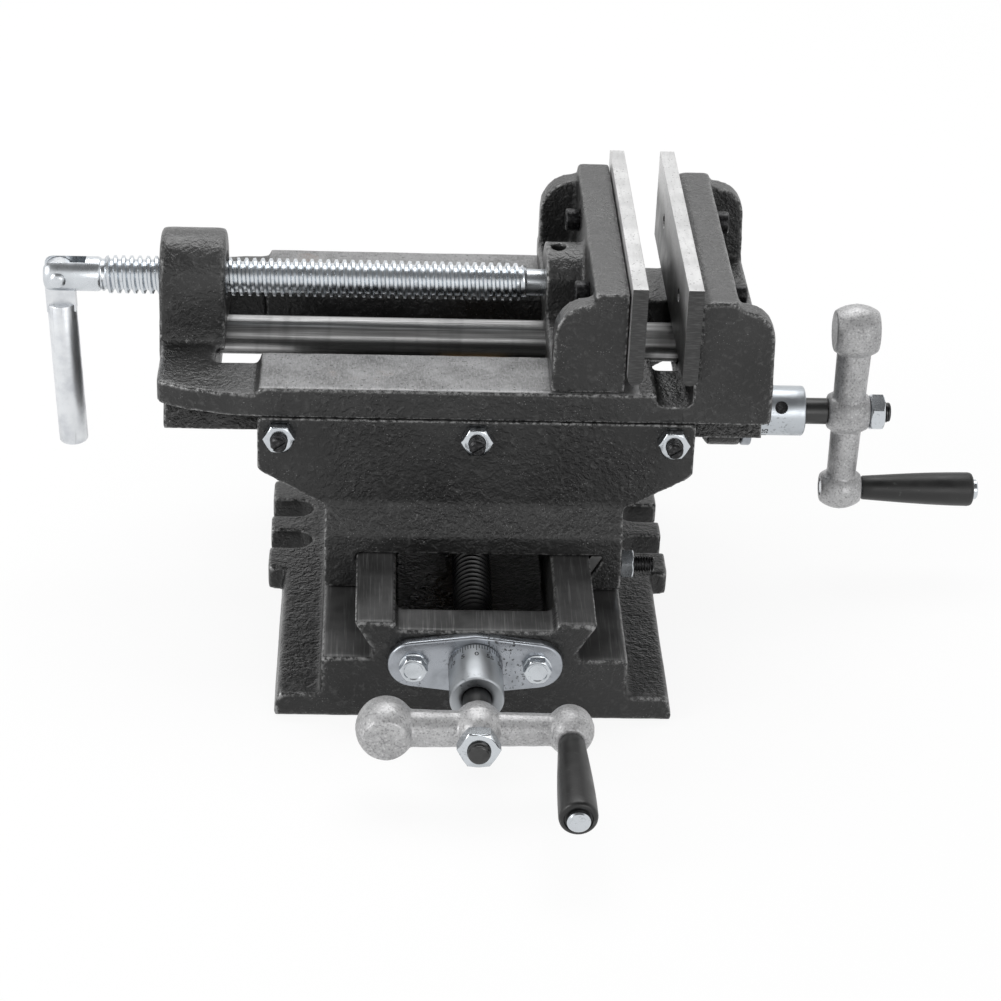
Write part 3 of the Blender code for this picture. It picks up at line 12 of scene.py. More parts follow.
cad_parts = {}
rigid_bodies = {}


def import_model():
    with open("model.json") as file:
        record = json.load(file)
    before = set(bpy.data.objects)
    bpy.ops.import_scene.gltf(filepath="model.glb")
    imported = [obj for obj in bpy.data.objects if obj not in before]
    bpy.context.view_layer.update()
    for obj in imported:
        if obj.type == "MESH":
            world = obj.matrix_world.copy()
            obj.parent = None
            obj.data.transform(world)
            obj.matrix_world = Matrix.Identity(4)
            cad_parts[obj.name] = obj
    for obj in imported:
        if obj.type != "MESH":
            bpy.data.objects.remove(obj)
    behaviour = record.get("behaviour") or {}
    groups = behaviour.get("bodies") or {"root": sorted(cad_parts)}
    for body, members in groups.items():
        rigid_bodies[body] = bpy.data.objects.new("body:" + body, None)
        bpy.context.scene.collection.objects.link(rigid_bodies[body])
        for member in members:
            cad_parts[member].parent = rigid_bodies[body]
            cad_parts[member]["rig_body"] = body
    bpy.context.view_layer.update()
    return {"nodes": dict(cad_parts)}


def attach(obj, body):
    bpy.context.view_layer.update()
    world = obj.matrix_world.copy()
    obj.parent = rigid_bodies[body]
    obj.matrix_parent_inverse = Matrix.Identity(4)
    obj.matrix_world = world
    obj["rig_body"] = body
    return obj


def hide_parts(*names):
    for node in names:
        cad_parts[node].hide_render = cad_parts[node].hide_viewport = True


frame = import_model()

MM = 0.001
NODES = frame["nodes"]

# Camera: place in millimetres, angles in degrees, lens for a 36 mm sensor
CAMERA_AT = (-37.44, -957.78, 564.54)
CAMERA_PITCH = 29.55
CAMERA_YAW = 3.01
CAMERA_ROLL = 2.4
CAMERA_LENS = 101.88

# Light, floor and lamps: name, place, size and power, in metres and watts
WORLD_LIGHT = 0.55
FLOOR_MATTE = 0.90
FLOOR_WHITE = 0.90
LAMPS = (("top_softbox", (0.0, 0.55, 1.15), (1.3, 0.7), 9.0),
         ("left_softbox", (-1.15, -0.55, 0.75), (0.6, 0.8), 7.0),
         ("front_fill", (0.6, -1.3, 0.45), (0.7, 0.5), 2.5))
LAMPS_AIM = (0, 0, 0.07)

# Turns from a piece's own axes, where its axis is X, into the model's
AHEAD = Matrix.Identity(3)
BACKWARD = Matrix(((-1, 0, 0), (0, -1, 0), (0, 0, 1)))
TO_FRONT = Matrix(((0, 0, -1), (-1, 0, 0), (0, 1, 0)))
UPWARD = Matrix(((0, 1, 0), (0, 0, 1), (1, 0, 0)))
DOWN_Y = Matrix(((0, -1, 0), (1, 0, 0), (0, 0, 1)))

# Axes of the turning pieces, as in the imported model
MIDDLE_Y = -8.5
FRONT_SCREW_Z = 24.8
SIDE_SCREW_Z = 67.0
GUIDE_ROD_Z = 95.0
SPINDLE_Z = 118.6
HANDLE_PIN_X = -153.0
HANDLE_LEAN = math.radians(2.4)
SLIDE_PITCH = 3.0

# Fasteners: places by the end of their name
TABLE_GIB_XS = {"left": -70.4, "middle": 0.0, "right": 70.4}
TABLE_GIB_FACE = (-67.8, 85.1)
BASE_GIB_YS = {"front": -63.5, "middle": -8.5, "rear": 46.5}
BASE_GIB_FACE = (54.3, 31.0)
GIB_NUT = (5.0, 10.0)
M6_RADIUS, M6_PITCH = 3.0, 1.0
JAW_SCREW_YS = {"front": -40.5, "rear": 23.5}
JAW_SCREW_Z = 130.0
JAW_SCREW_SEATS = (("fixed", 91.0, AHEAD), ("moving", 39.3, BACKWARD))
FLANGE_THICK = 4.0
FRONT_FLANGE_FACE_Y = -124.8
SIDE_FLANGE_FACE_X = 104.4
FLANGE_BOLT_XS = {"left": -21.7, "right": 21.7}
SIDE_FLANGE_SCREW_YS = {"front": -23.1, "rear": 6.1}

# The two drives share these places along the screw, from the middle of the crank's hub.
HUB_HALF = 7.9
COLLAR_START = -38.6
COLLAR_END = -17.2
COLLAR_RADIUS = 9.5
DIAL_TICKS = 60
TICKS_A_NUMBER = 5
# Each drive's hub, turn, reach of the two balls, screw's end, set screw's angle and oily spot
DRIVES = {
    "front": ((0, -163.7, FRONT_SCREW_Z), TO_FRONT, (31.2, 31.2), -245.9, math.pi,
              (-14.0, -2.0, -8.0)),
    "side": ((143.3, MIDDLE_Y, SIDE_SCREW_Z), AHEAD, (34.0, 33.0), -238.3, math.radians(146),
             (-2.5, 4.5, 8.0)),
}

# Castings: voxel, smoothing passes and waviness, in millimetres
CASTINGS = {"base": (0.9, 5, 0.12), "saddle": (0.9, 5, 0.15),
            "vise_body": (0.9, 4, 0.12), "moving_jaw": (0.8, 4, 0.12)}
# The vise body's spindle boss, below this x and above this z, gets rounder edges.
ROUND_BOSS = (-84.0, 108.0)
ROUND_PASSES = 26

# Machined faces that look up, in millimetres: low and high corner, None where it has no limit
MACHINED = {
    "base": (((None, None, 39.2), (None, None, 41)),
             ((-56, None, 24.6), (56, None, 25.6)),
             ((None, None, 36), (None, None, 37))),
    "vise_body": (((-79, None, 102.6), (57.4, None, 104)),),
}
MASK_BLUR = 0.2
# How much the paint shines on steep faces and on faces that look up
PAINT_SHINE = {"base": (0.30, 0.55), "saddle": (0.34, 0.62),
               "vise_body": (0.40, 0.95), "moving_jaw": (0.40, 0.95)}
PAINT_RELIEF = 0.00072

# Zinc plates: tint, roughness range, share of cloudy patches and of dirt
ZINCS = {
    "zinc_plate": ((0.58, 0.61, 0.64), (0.14, 0.28), 0.35, 0.25),
    "stamped_zinc": ((0.36, 0.38, 0.41), (0.22, 0.40), 0.6, 0.9),
    # The front collar's zinc is a darker copy of the side collar's: painted shade.
    "front_collar_shaded_zinc": ((0.40, 0.42, 0.44), (0.38, 0.52), 0.5, 0.5),
    "collar_zinc": ((0.50, 0.53, 0.56), (0.30, 0.42), 0.35, 0.4),
    "spindle_zinc": ((0.66, 0.69, 0.72), (0.22, 0.36), 0.3, 0.2),
}


def placed(name, data):
    """A new object in the scene."""
    made = bpy.data.objects.new(name, data)
    bpy.context.scene.collection.objects.link(made)
    return made


def grey(value):
    return (value, value, value)


# Shader graphs

class Shader:
    """A material's node graph, written as short calls."""

    def __init__(self, name):
        self.material = bpy.data.materials.new(name)
        self.material.use_nodes = True
        self.tree = self.material.node_tree
        self.surface = self.tree.nodes["Principled BSDF"]
        self.local = self.make("ShaderNodeTexCoord").outputs["Object"]

    def make(self, kind, **values):
        node = self.tree.nodes.new(kind)
        for key, value in values.items():
            setattr(node, key, value)
        return node

    def put(self, socket, value):
        if hasattr(value, "is_output"):
            self.tree.links.new(value, socket)
        elif isinstance(value, tuple) and len(value) == 3 and socket.type == "RGBA":
            socket.default_value = (*value, 1.0)
        else:
            socket.default_value = value

    def set(self, **values):
        """Sets the surface's inputs, an underscore for a space, and gives the material."""
        for key, value in values.items():
            self.put(self.surface.inputs[key.replace("_", " ")], value)
        return self.material

    def math(self, operation, first, second):
        node = self.make("ShaderNodeMath", operation=operation)
        for socket, value in zip(node.inputs, (first, second)):
            self.put(socket, value)
        return node.outputs[0]

    def times(self, first, second):
        return self.math("MULTIPLY", first, second)

    def plus(self, first, second):
        return self.math("ADD", first, second)

    def noise(self, scale, detail, rough, vector=None, distortion=0.0):
        node = self.make("ShaderNodeTexNoise")
        self.put(node.inputs["Vector"], vector or self.local)
        self.put(node.inputs["Scale"], scale)
        self.put(node.inputs["Detail"], detail)
        self.put(node.inputs["Roughness"], rough)
        self.put(node.inputs["Distortion"], distortion)
        return node.outputs["Fac"]

    def grain(self, scales, detail, rough):
        """Noise with a scale of its own along each axis."""
        node = self.make("ShaderNodeMapping")
        self.put(node.inputs["Vector"], self.local)
        node.inputs["Scale"].default_value = scales
        return self.noise(1.0, detail, rough, node.outputs["Vector"])

    def ramp(self, factor, low, high, to_low=0.0, to_high=1.0):
        node = self.make("ShaderNodeMapRange", interpolation_type="SMOOTHSTEP")
        for socket, value in zip(node.inputs, (factor, low, high, to_low, to_high)):
            self.put(socket, value)
        return node.outputs["Result"]

    def mix(self, factor, first, second):
        node = self.make("ShaderNodeMix", data_type="RGBA")
        self.put(node.inputs["Factor"], factor)
        self.put(node.inputs["A"], first)
        self.put(node.inputs["B"], second)
        return node.outputs["Result"]

    def stain(self, colour, mask, share, over):
        """The colour with a share of another over it, where the mask is 1."""
        return self.mix(self.times(mask, share), colour, over)

    def split(self, vector):
        node = self.make("ShaderNodeSeparateXYZ")
        self.put(node.inputs[0], vector)
        return node.outputs

    def facing(self):
        """The surface normal in the piece's own axes, split."""
        node = self.make("ShaderNodeVectorTransform", vector_type="NORMAL", convert_from="WORLD",
                         convert_to="OBJECT")
        self.put(node.inputs[0], self.make("ShaderNodeNewGeometry").outputs["Normal"])
        return self.split(node.outputs[0])

    def wear(self, low, high):
        """1 on outer edges, where the paint is worn and where glints are painted."""
        return self.ramp(self.make("ShaderNodeNewGeometry").outputs["Pointiness"], low, high)

    def bump(self, height, distance, strength):
        node = self.make("ShaderNodeBump")
        self.put(node.inputs["Height"], height)
        node.inputs["Distance"].default_value = distance
        self.put(node.inputs["Strength"], strength)
        return node.outputs["Normal"]

    def box_mask(self, low, high):
        """1 inside a box given in millimetres, None where it has no limit."""
        mask = 1.0
        for part, *limits in zip(self.split(self.local), low, high):
            for limit, blur in zip(limits, (MASK_BLUR, -MASK_BLUR)):
                if limit is not None:
                    side = self.ramp(part, (limit - blur) * MM, (limit + blur) * MM)
                    mask = self.times(mask, side)
        return mask

    def either(self, masks):
        total = masks[0]
        for mask in masks[1:]:
            total = self.math("MAXIMUM", total, mask)
        return total


def cast_paint(node):
    """Black gloss paint on a sand casting: pebbled, with painted highlights on the ripple crests,
    a few painted glints, and rubbed edges that are partly real wear and partly painted glints.
    """
    s = Shader(f"{node}_black_paint")
    waves = s.noise(400, 2.0, 0.55, distortion=0.8)
    pebbles = s.noise(1000, 2.0, 0.6)
    broad = s.noise(60, 4.0, 0.6)
    patches = s.noise(22, 3.0, 0.5)
    black = s.mix(s.ramp(patches, 0.35, 0.7), grey(0.013), grey(0.027))
    # The ripple crests are lighter: painted highlight on the orange peel.
    black = s.mix(s.ramp(waves, 0.52, 0.75), black, grey(0.045))
    # A few pale specks: painted glints of the gloss paint.
    painted_glints = s.times(s.ramp(s.noise(1900, 1.0, 0.5), 0.69, 0.74), s.ramp(broad, 0.40, 0.58))
    black = s.stain(black, painted_glints, 0.55, grey(0.34))
    # Light outer edges: partly real rubbed wear, partly painted glint on the rounded edges.
    edge = s.times(s.wear(0.515, 0.55), s.ramp(s.noise(520, 4.0, 0.75), 0.44, 0.58))
    black = s.stain(black, edge, 0.75, grey(0.36))
    metal = s.times(edge, 0.5)
    rough = s.ramp(patches, 0.3, 0.7, 0.25, 0.38)
    height = s.plus(s.plus(waves, s.times(pebbles, 0.50)), s.times(broad, 0.8))
    ripple = s.ramp(s.noise(30, 2.0, 0.5), 0.35, 0.68, 0.55, 1.0)
    relief = s.bump(height, PAINT_RELIEF, ripple)
    up = s.facing()[2]
    s.set(Specular_IOR_Level=s.ramp(up, 0.25, 0.95, *PAINT_SHINE[node]))
    if node not in MACHINED:
        return s.set(Base_Color=black, Metallic=metal, Roughness=rough, Normal=relief)
    bare = s.times(s.either([s.box_mask(*box) for box in MACHINED[node]]), s.ramp(up, 0.75, 0.93))
    ground = dark_ways if node == "base" else ground_rails
    steel, steel_rough, steel_metal, steel_relief = ground(s)
    keep = s.math("SUBTRACT", 1.0, bare)
    normal = s.make("ShaderNodeMix", data_type="VECTOR")
    s.put(normal.inputs["Factor"], bare)
    s.put(normal.inputs["A"], relief)
    s.put(normal.inputs["B"], steel_relief)
    return s.set(Base_Color=s.mix(bare, black, steel),
                 Metallic=s.plus(s.times(metal, keep), s.times(bare, steel_metal)),
                 Roughness=s.plus(s.times(rough, keep), s.times(steel_rough, bare)),
                 Normal=[o for o in normal.outputs if o.type == "VECTOR"][0])


def ground_rails(s):
    """Milled iron rails: pale, mottled, with fine cross marks and a little rust."""
    cross = s.grain((1500, 420, 300), 3.0, 0.6)
    blotch = s.noise(80, 5.0, 0.75)
    colour = s.mix(s.ramp(blotch, 0.3, 0.72), grey(0.13), (0.30, 0.30, 0.305))
    colour = s.stain(colour, s.ramp(cross, 0.4, 0.7), 0.6, grey(0.36))
    pits = s.ramp(s.noise(900, 1.0, 0.5), 0.66, 0.72)
    colour = s.stain(colour, pits, 0.8, grey(0.05))
    rust = s.times(s.ramp(s.noise(35, 4.0, 0.7), 0.60, 0.74), s.ramp(blotch, 0.45, 0.6))
    colour = s.stain(colour, rust, 0.55, (0.20, 0.12, 0.08))
    return colour, s.ramp(blotch, 0.2, 0.8, 0.36, 0.52), 0.55, s.bump(cross, 0.00005, 0.8)


def dark_ways(s):
    """The base's ways: oily dark iron with long faint scratches."""
    along = s.grain((1500, 45, 100), 3.0, 0.6)
    blotch = s.noise(40, 4.0, 0.6)
    colour = s.mix(s.ramp(blotch, 0.3, 0.7), grey(0.050), grey(0.105))
    colour = s.stain(colour, s.ramp(along, 0.5, 0.75), 0.7, grey(0.20))
    return colour, s.ramp(blotch, 0.2, 0.8, 0.38, 0.52), 0.4, s.bump(along, 0.00003, 0.5)


def zinc(name):
    """Bright zinc plate with cloudy patches and a little dirt."""
    tint, rough, smudge, dirt = ZINCS[name]
    s = Shader(name)
    cloud = s.noise(110, 4.0, 0.6)
    fine = s.noise(800, 2.0, 0.6)
    waves = s.noise(240, 2.0, 0.5)
    colour = s.stain(tint, s.ramp(cloud, 0.45, 0.75), smudge, tuple(c * 0.6 for c in tint))
    spots = s.times(s.ramp(fine, 0.56, 0.66), s.ramp(s.noise(75, 3.0, 0.6), 0.48, 0.60))
    colour = s.stain(colour, spots, dirt, grey(0.05))
    height = s.plus(fine, s.times(waves, 2.0))
    return s.set(Base_Color=colour, Metallic=1.0, Roughness=s.ramp(cloud, 0.3, 0.75, *rough),
                 Normal=s.bump(height, 0.00003, 0.6))


def turned_steel(name, axis, shade):
    """Turned or drawn steel, with marks that run along its axis."""
    s = Shader(name)
    scales = [250.0, 250.0, 250.0]
    scales[axis] = 14.0
    lines = s.grain(tuple(scales), 3.0, 0.65)
    cloud = s.noise(45, 3.0, 0.6)
    colour = s.stain(grey(shade), s.ramp(lines, 0.4, 0.75), 0.6, grey(shade * 0.6))
    return s.set(Base_Color=colour, Metallic=1.0, Roughness=s.ramp(cloud, 0.3, 0.7, 0.28, 0.40),
                 Normal=s.bump(lines, 0.00003, 0.4))


def streaked_rod():
    """Dark drawn steel with streaks along X and faint darker bands."""
    s = Shader("banded_drawn_steel")
    streaks = s.grain((7, 420, 420), 3.0, 0.7)
    bands = s.grain((160, 30, 30), 2.0, 0.5)
    colour = s.mix(s.ramp(streaks, 0.35, 0.7), grey(0.16), grey(0.62))
    colour = s.stain(colour, s.ramp(bands, 0.50, 0.75), 0.3, grey(0.08))
    return s.set(Base_Color=colour, Metallic=0.9, Roughness=s.ramp(streaks, 0.3, 0.7, 0.42, 0.30),
                 Normal=s.bump(streaks, 0.00004, 0.6))


def satin_bar():
    """The handle's dull silver bar: fine lengthwise scratches on tumbled plating."""
    s = Shader("satin_handle_zinc")
    lines = s.grain((900, 900, 30), 3.0, 0.6)
    cloud = s.noise(130, 4.0, 0.6)
    colour = s.mix(s.ramp(cloud, 0.35, 0.7), (0.78, 0.80, 0.82), (0.62, 0.64, 0.67))
    colour = s.stain(colour, s.ramp(lines, 0.58, 0.7), 0.35, (0.25, 0.25, 0.26))
    return s.set(Base_Color=colour, Metallic=0.95, Roughness=s.ramp(cloud, 0.3, 0.7, 0.30, 0.42),
                 Normal=s.bump(lines, 0.00004, 0.6))


def cast_aluminium(name, smudge_at):
    """Tumbled aluminium casting: matte, mottled and speckled, with one oily smudge."""
    s = Shader(name)
    specks = s.noise(1300, 2.0, 0.6)
    cloud = s.noise(75, 5.0, 0.65)
    dents = s.noise(420, 3.0, 0.6)
    colour = s.mix(s.ramp(cloud, 0.34, 0.72), (0.49, 0.49, 0.495), (0.34, 0.34, 0.345))
    colour = s.stain(colour, s.ramp(specks, 0.56, 0.7), 0.5, grey(0.72))
    colour = s.stain(colour, s.ramp(specks, 0.46, 0.34), 0.6, grey(0.16))
    reach = s.make("ShaderNodeVectorMath", operation="DISTANCE")
    s.put(reach.inputs[0], s.local)
    reach.inputs[1].default_value = tuple(v * MM for v in smudge_at)
    near = s.ramp(reach.outputs["Value"], 0.0022, 0.0058, 1.0, 0.0)
    oil = s.times(near, s.ramp(s.noise(500, 3.0, 0.7), 0.38, 0.55))
    colour = s.stain(colour, oil, 0.75, grey(0.06))
    height = s.plus(s.times(specks, 0.6), dents)
    return s.set(Base_Color=colour, Metallic=0.5, Roughness=s.ramp(cloud, 0.3, 0.7, 0.36, 0.52),
                 Normal=s.bump(height, 0.00014, 0.9))


def satin_plastic():
    """The grips' black plastic, with faint scuffs."""
    s = Shader("satin_black_plastic")
    fine = s.noise(1500, 2.0, 0.6)
    cloud = s.noise(80, 4.0, 0.6)
    colour = s.mix(s.ramp(cloud, 0.4, 0.7), grey(0.009), grey(0.017))
    scuffs = s.ramp(s.grain((260, 900, 260), 2.0, 0.6), 0.66, 0.74)
    colour = s.stain(colour, scuffs, 0.4, grey(0.09))
    return s.set(Base_Color=colour, Roughness=s.ramp(cloud, 0.3, 0.7, 0.34, 0.48),
                 Normal=s.bump(fine, 0.00004, 0.6))


def black_oxide():
    s = Shader("black_oxide_steel")
    fine = s.noise(900, 2.0, 0.6)
    colour = s.mix(s.ramp(fine, 0.45, 0.7), (0.016, 0.016, 0.017), (0.060, 0.060, 0.062))
    return s.set(Base_Color=colour, Metallic=0.6, Roughness=s.ramp(fine, 0.3, 0.7, 0.26, 0.38),
                 Normal=s.bump(fine, 0.00003, 0.6))


def stamped_ink():
    """Dull grey stamped marks."""
    s = Shader("stamped_marks")
    fine = s.noise(900, 2.0, 0.6)
    colour = s.mix(fine, (0.03, 0.03, 0.032), (0.09, 0.09, 0.095))
    return s.set(Base_Color=colour, Metallic=0.6, Roughness=s.ramp(fine, 0.3, 0.7, 0.4, 0.55))


def ground_plate(name, shade_inner_face):
    """Ground jaw plate: pale brushed top, dark ends, and painted shade on the inner face, darker
    towards the bottom.
    """
    s = Shader(name)
    lines = s.grain((260, 40, 2200), 3.0, 0.6)
    top_lines = s.grain((900, 160, 300), 4.0, 0.65)
    blotch = s.noise(55, 4.0, 0.65)
    pits = s.ramp(s.noise(1000, 1.0, 0.5), 0.67, 0.72)
    colour = s.mix(s.ramp(blotch, 0.3, 0.7), grey(0.56), grey(0.70))
    colour = s.stain(colour, s.ramp(top_lines, 0.45, 0.7), 0.35, grey(0.42))
    colour = s.stain(colour, pits, 0.6, grey(0.12))
    facing = s.facing()
    ends = s.ramp(s.math("ABSOLUTE", facing[1], 0.0), 0.8, 0.9)
    colour = s.mix(ends, colour, s.mix(s.ramp(lines, 0.4, 0.7), grey(0.050), grey(0.085)))
    # Painted shade: the face that looks at the other jaw gets darker towards the bottom.
    if shade_inner_face:
        inward = s.ramp(facing[0], -0.8, -0.95)
        painted_shade = s.ramp(s.split(s.local)[2], 0.126, 0.139, 1.0, 0.0)
        painted_shade = s.times(inward, s.times(painted_shade, s.ramp(blotch, 0.2, 0.6, 0.8, 1.0)))
        colour = s.stain(colour, painted_shade, 0.9, grey(0.035))
    height = s.plus(lines, s.times(top_lines, 1.5))
    return s.set(Base_Color=colour, Metallic=0.75, Roughness=s.ramp(blotch, 0.3, 0.7, 0.36, 0.48),
                 Normal=s.bump(height, 0.00006, 0.8))


def bronze():
    s = Shader("bronze_nut")
    cloud = s.noise(80, 4.0, 0.6)
    colour = s.mix(s.ramp(cloud, 0.4, 0.7), (0.42, 0.28, 0.13), (0.28, 0.18, 0.09))
    return s.set(Base_Color=colour, Metallic=1.0, Roughness=s.ramp(cloud, 0.3, 0.7, 0.30, 0.45))


# Meshes, in millimetres

def turned(profile, steps=48, ring=False):
    """A turning about X from rows of (along, radius) or (along, radius, width across flats)."""
    mesh = bmesh.new()
    rows = []
    for along, radius, *across in profile:
        row = []
        for i in range(steps if radius > 0 else 1):
            angle = math.tau * i / steps
            reach = radius
            if across:
                flat = (angle + math.pi / 6) % (math.pi / 3) - math.pi / 6
                reach = min(reach, across[0] / 2 / math.cos(flat))
            row.append(mesh.verts.new((along, reach * math.cos(angle), reach * math.sin(angle))))
        rows.append(row)
    if ring:
        rows.append(rows[0])
    for first, second in zip(rows, rows[1:]):
        for i in range(steps):
            corners = [first[i % len(first)], first[(i + 1) % len(first)],
                       second[(i + 1) % len(second)], second[i % len(second)]]
            mesh.faces.new(dict.fromkeys(corners))
    if not ring:
        for row in (rows[0], rows[-1]):
            if len(row) > 1:
                mesh.faces.new(row)
    return mesh


# One turn of a trapezoidal thread: share of the pitch, share of the depth
THREAD_FORM = ((0.0, 0.0), (0.30, 0.0), (0.50, 1.0), (0.80, 1.0))


def threaded(start, end, major, minor, pitch, steps):
    """A right-hand trapezoidal thread along X, run out at both ends."""
    mesh = bmesh.new()
    rows = []
    for turn in range(-2, math.ceil((end - start) / pitch) + 1):
        for share, height in THREAD_FORM:
            row = []
            for i in range(steps):
                angle = math.tau * i / steps
                along = start + (turn + share + i / steps) * pitch
                fade = min(1.0, max(0.0, min(along - start, end - along) / pitch))
                radius = minor + (major - minor) * height * fade
                along = min(max(along, start), end)
                row.append(mesh.verts.new((along, radius * math.cos(angle),
                                           radius * math.sin(angle))))
            rows.append(row)
    for r in range(len(rows) - 1):
        for i in range(steps - 1):
            mesh.faces.new((rows[r][i], rows[r][i + 1], rows[r + 1][i + 1], rows[r + 1][i]))
        after = r + len(THREAD_FORM)
        if after + 1 < len(rows):
            mesh.faces.new((rows[r][-1], rows[after][0], rows[after + 1][0], rows[r + 1][-1]))
    bmesh.ops.remove_doubles(mesh, verts=mesh.verts, dist=0.0005)
    edges = [edge for edge in mesh.edges if edge.is_boundary]
    bmesh.ops.holes_fill(mesh, edges=edges, sides=0)
    return mesh


def hexagon(start, end, across, low_chamfer=True, dish=0.0):
    """Profile rows of a hexagon with corners chamfered at 30 degrees, and a dish on top if any."""
    corner = across / math.sqrt(3)
    face = across * 0.475
    depth = (corner - face) * 0.58
    shares = (0.0, 0.25, 0.5, 0.75, 1.0)
    climb = [(depth * t, face + (corner - face) * t) for t in shares]
    rows = []
    if low_chamfer:
        rows += [(start + run, radius, across) for run, radius in climb]
    else:
        rows.append((start, corner, across))
    rows += [(end - run, radius, across) for run, radius in reversed(climb)]
    if dish:
        rows += [(end, across * 0.40), (end - dish, across * 0.36), (end - dish, 0)]
    return rows


def nut_mesh(start, end, across, bore):
    ease = 0.2
    rows = [(start + ease, bore), (start, bore + ease)] + hexagon(start, end, across)
    return turned(rows + [(end, bore + ease), (end - ease, bore)], ring=True)


def plate_mesh(outline, low, high, edge):
    """A flat plate across X with rounded edges; the outline is convex, as (y, z)."""
    mesh = bmesh.new()
    count = len(outline)
    points = [Vector(point) for point in outline]
    away = []
    for i in range(count):
        chord = points[(i + 1) % count] - points[i - 1]
        away.append(Vector((chord.y, -chord.x)).normalized())
    rows = []
    turns = [math.radians(a) for a in (0, 30, 60, 90)]
    levels = [(low + edge * (1 - math.sin(t)), edge * (1 - math.cos(t))) for t in reversed(turns)]
    levels += [(high - edge * (1 - math.sin(t)), edge * (1 - math.cos(t))) for t in turns]
    for along, inset in levels:
        rows.append([mesh.verts.new((along, *(p - n * inset))) for p, n in zip(points, away)])
    for first, second in zip(rows, rows[1:]):
        for i in range(count):
            j = (i + 1) % count
            mesh.faces.new((first[i], first[j], second[j], second[i]))
    mesh.faces.new(rows[0])
    mesh.faces.new(rows[-1])
    return mesh


def flange_outline(radius, end_radius, offset):
    """A round middle and two smaller round ends, joined by straight edges."""
    lean = math.acos((radius - end_radius) / offset)
    points = []
    steps = 14
    for centre, size, start, end in ((offset, end_radius, -lean, lean),
                                     (0, radius, lean, math.pi - lean),
                                     (-offset, end_radius, math.pi - lean, math.pi + lean),
                                     (0, radius, math.pi + lean, math.tau - lean)):
        for i in range(steps + 1):
            angle = start + (end - start) * i / steps
            points.append((centre + size * math.cos(angle), size * math.sin(angle)))
    return points


def block(low, high):
    """A box between two corners."""
    mesh = bmesh.new()
    bmesh.ops.create_cube(mesh, size=1.0)
    for vertex in mesh.verts:
        for i in range(3):
            vertex.co[i] = high[i] if vertex.co[i] > 0 else low[i]
    return mesh


def loose(mesh):
    """A working object made from a mesh, which taken_back removes."""
    data = bpy.data.meshes.new("work")
    bmesh.ops.recalc_face_normals(mesh, faces=mesh.faces)
    mesh.to_mesh(data)
    mesh.free()
    return placed("work", data)


def taken_back(made, *others):
    """The piece with its modifiers applied, as a mesh again; every helper goes."""
    graph = bpy.context.evaluated_depsgraph_get()
    mesh = bmesh.new()
    mesh.from_object(made, graph)
    for helper in (made, *others):
        data = helper.data
        bpy.data.objects.remove(helper)
        bpy.data.meshes.remove(data)
    return mesh


def cut(mesh, *tools):
    """The mesh less each tool."""
    target = loose(mesh)
    helpers = [loose(tool) for tool in tools]
    for helper in helpers:
        boolean = target.modifiers.new("cut", "BOOLEAN")
        boolean.operation = "DIFFERENCE"
        boolean.solver = "EXACT"
        boolean.object = helper
    return taken_back(target, *helpers)


def joined(*meshes):
    """All the meshes as one, not fused."""
    whole = bmesh.new()
    for mesh in meshes:
        data = bpy.data.meshes.new("work")
        mesh.to_mesh(data)
        mesh.free()
        whole.from_mesh(data)
        bpy.data.meshes.remove(data)
    return whole


def fused(voxel, passes, *meshes):
    """Overlapping shells as one smooth skin."""
    target = loose(joined(*meshes))
    remesh = target.modifiers.new("remesh", "REMESH")
    remesh.mode = "VOXEL"
    remesh.voxel_size = voxel
    softened(target, passes)
    return taken_back(target)


def moved(mesh, origin, turn=AHEAD):
    mesh.transform(Matrix.Translation(Vector(origin)) @ turn.to_4x4())
    return mesh


def finished(made, node, material):
    """Gives a piece its material, and its node's body."""
    made.data.materials.clear()
    made.data.materials.append(material)
    made.data.shade_smooth()
    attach(made, NODES[node]["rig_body"])


def dressed(node, mesh, material, origin, turn=AHEAD, smooth=35, kind="detail"):
    """Puts a piece made along X in its node's place; a detail replaces the node."""
    moved(mesh, origin, turn)
    bmesh.ops.recalc_face_normals(mesh, faces=mesh.faces)
    for vertex in mesh.verts:
        vertex.co *= MM
    name = f"{node}_{kind}"
    data = bpy.data.meshes.new(name)
    mesh.to_mesh(data)
    mesh.free()
    made = placed(name, data)
    finished(made, node, material)
    data.set_sharp_from_angle(angle=math.radians(smooth))
    if kind == "detail":
        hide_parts(node)


def copied(node, kind):
    """A new object with the node's own shape."""
    return placed(f"{node}_{kind}", NODES[node].data.copy())


def apply_modifiers(made):
    graph = bpy.context.evaluated_depsgraph_get()
    data = bpy.data.meshes.new_from_object(made.evaluated_get(graph), depsgraph=graph)
    old = made.data
    made.modifiers.clear()
    made.data = data
    bpy.data.meshes.remove(old)


def softened(made, passes, group=""):
    """Adds a smoothing modifier, to a vertex group if one is named."""
    soft = made.modifiers.new("soft", "SMOOTH")
    soft.factor = 0.5
    soft.iterations = passes
    soft.vertex_group = group


def uneven(made, waviness):
    """Pushes the surface in and out a little, in broad waves and small ones."""
    normals = [vertex.normal.copy() for vertex in made.data.vertices]
    for vertex, normal in zip(made.data.vertices, normals):
        place = vertex.co / MM
        push = noise.noise(place * 0.09) * waviness + noise.noise(place * 0.35) * waviness * 0.4
        vertex.co += normal * push * MM


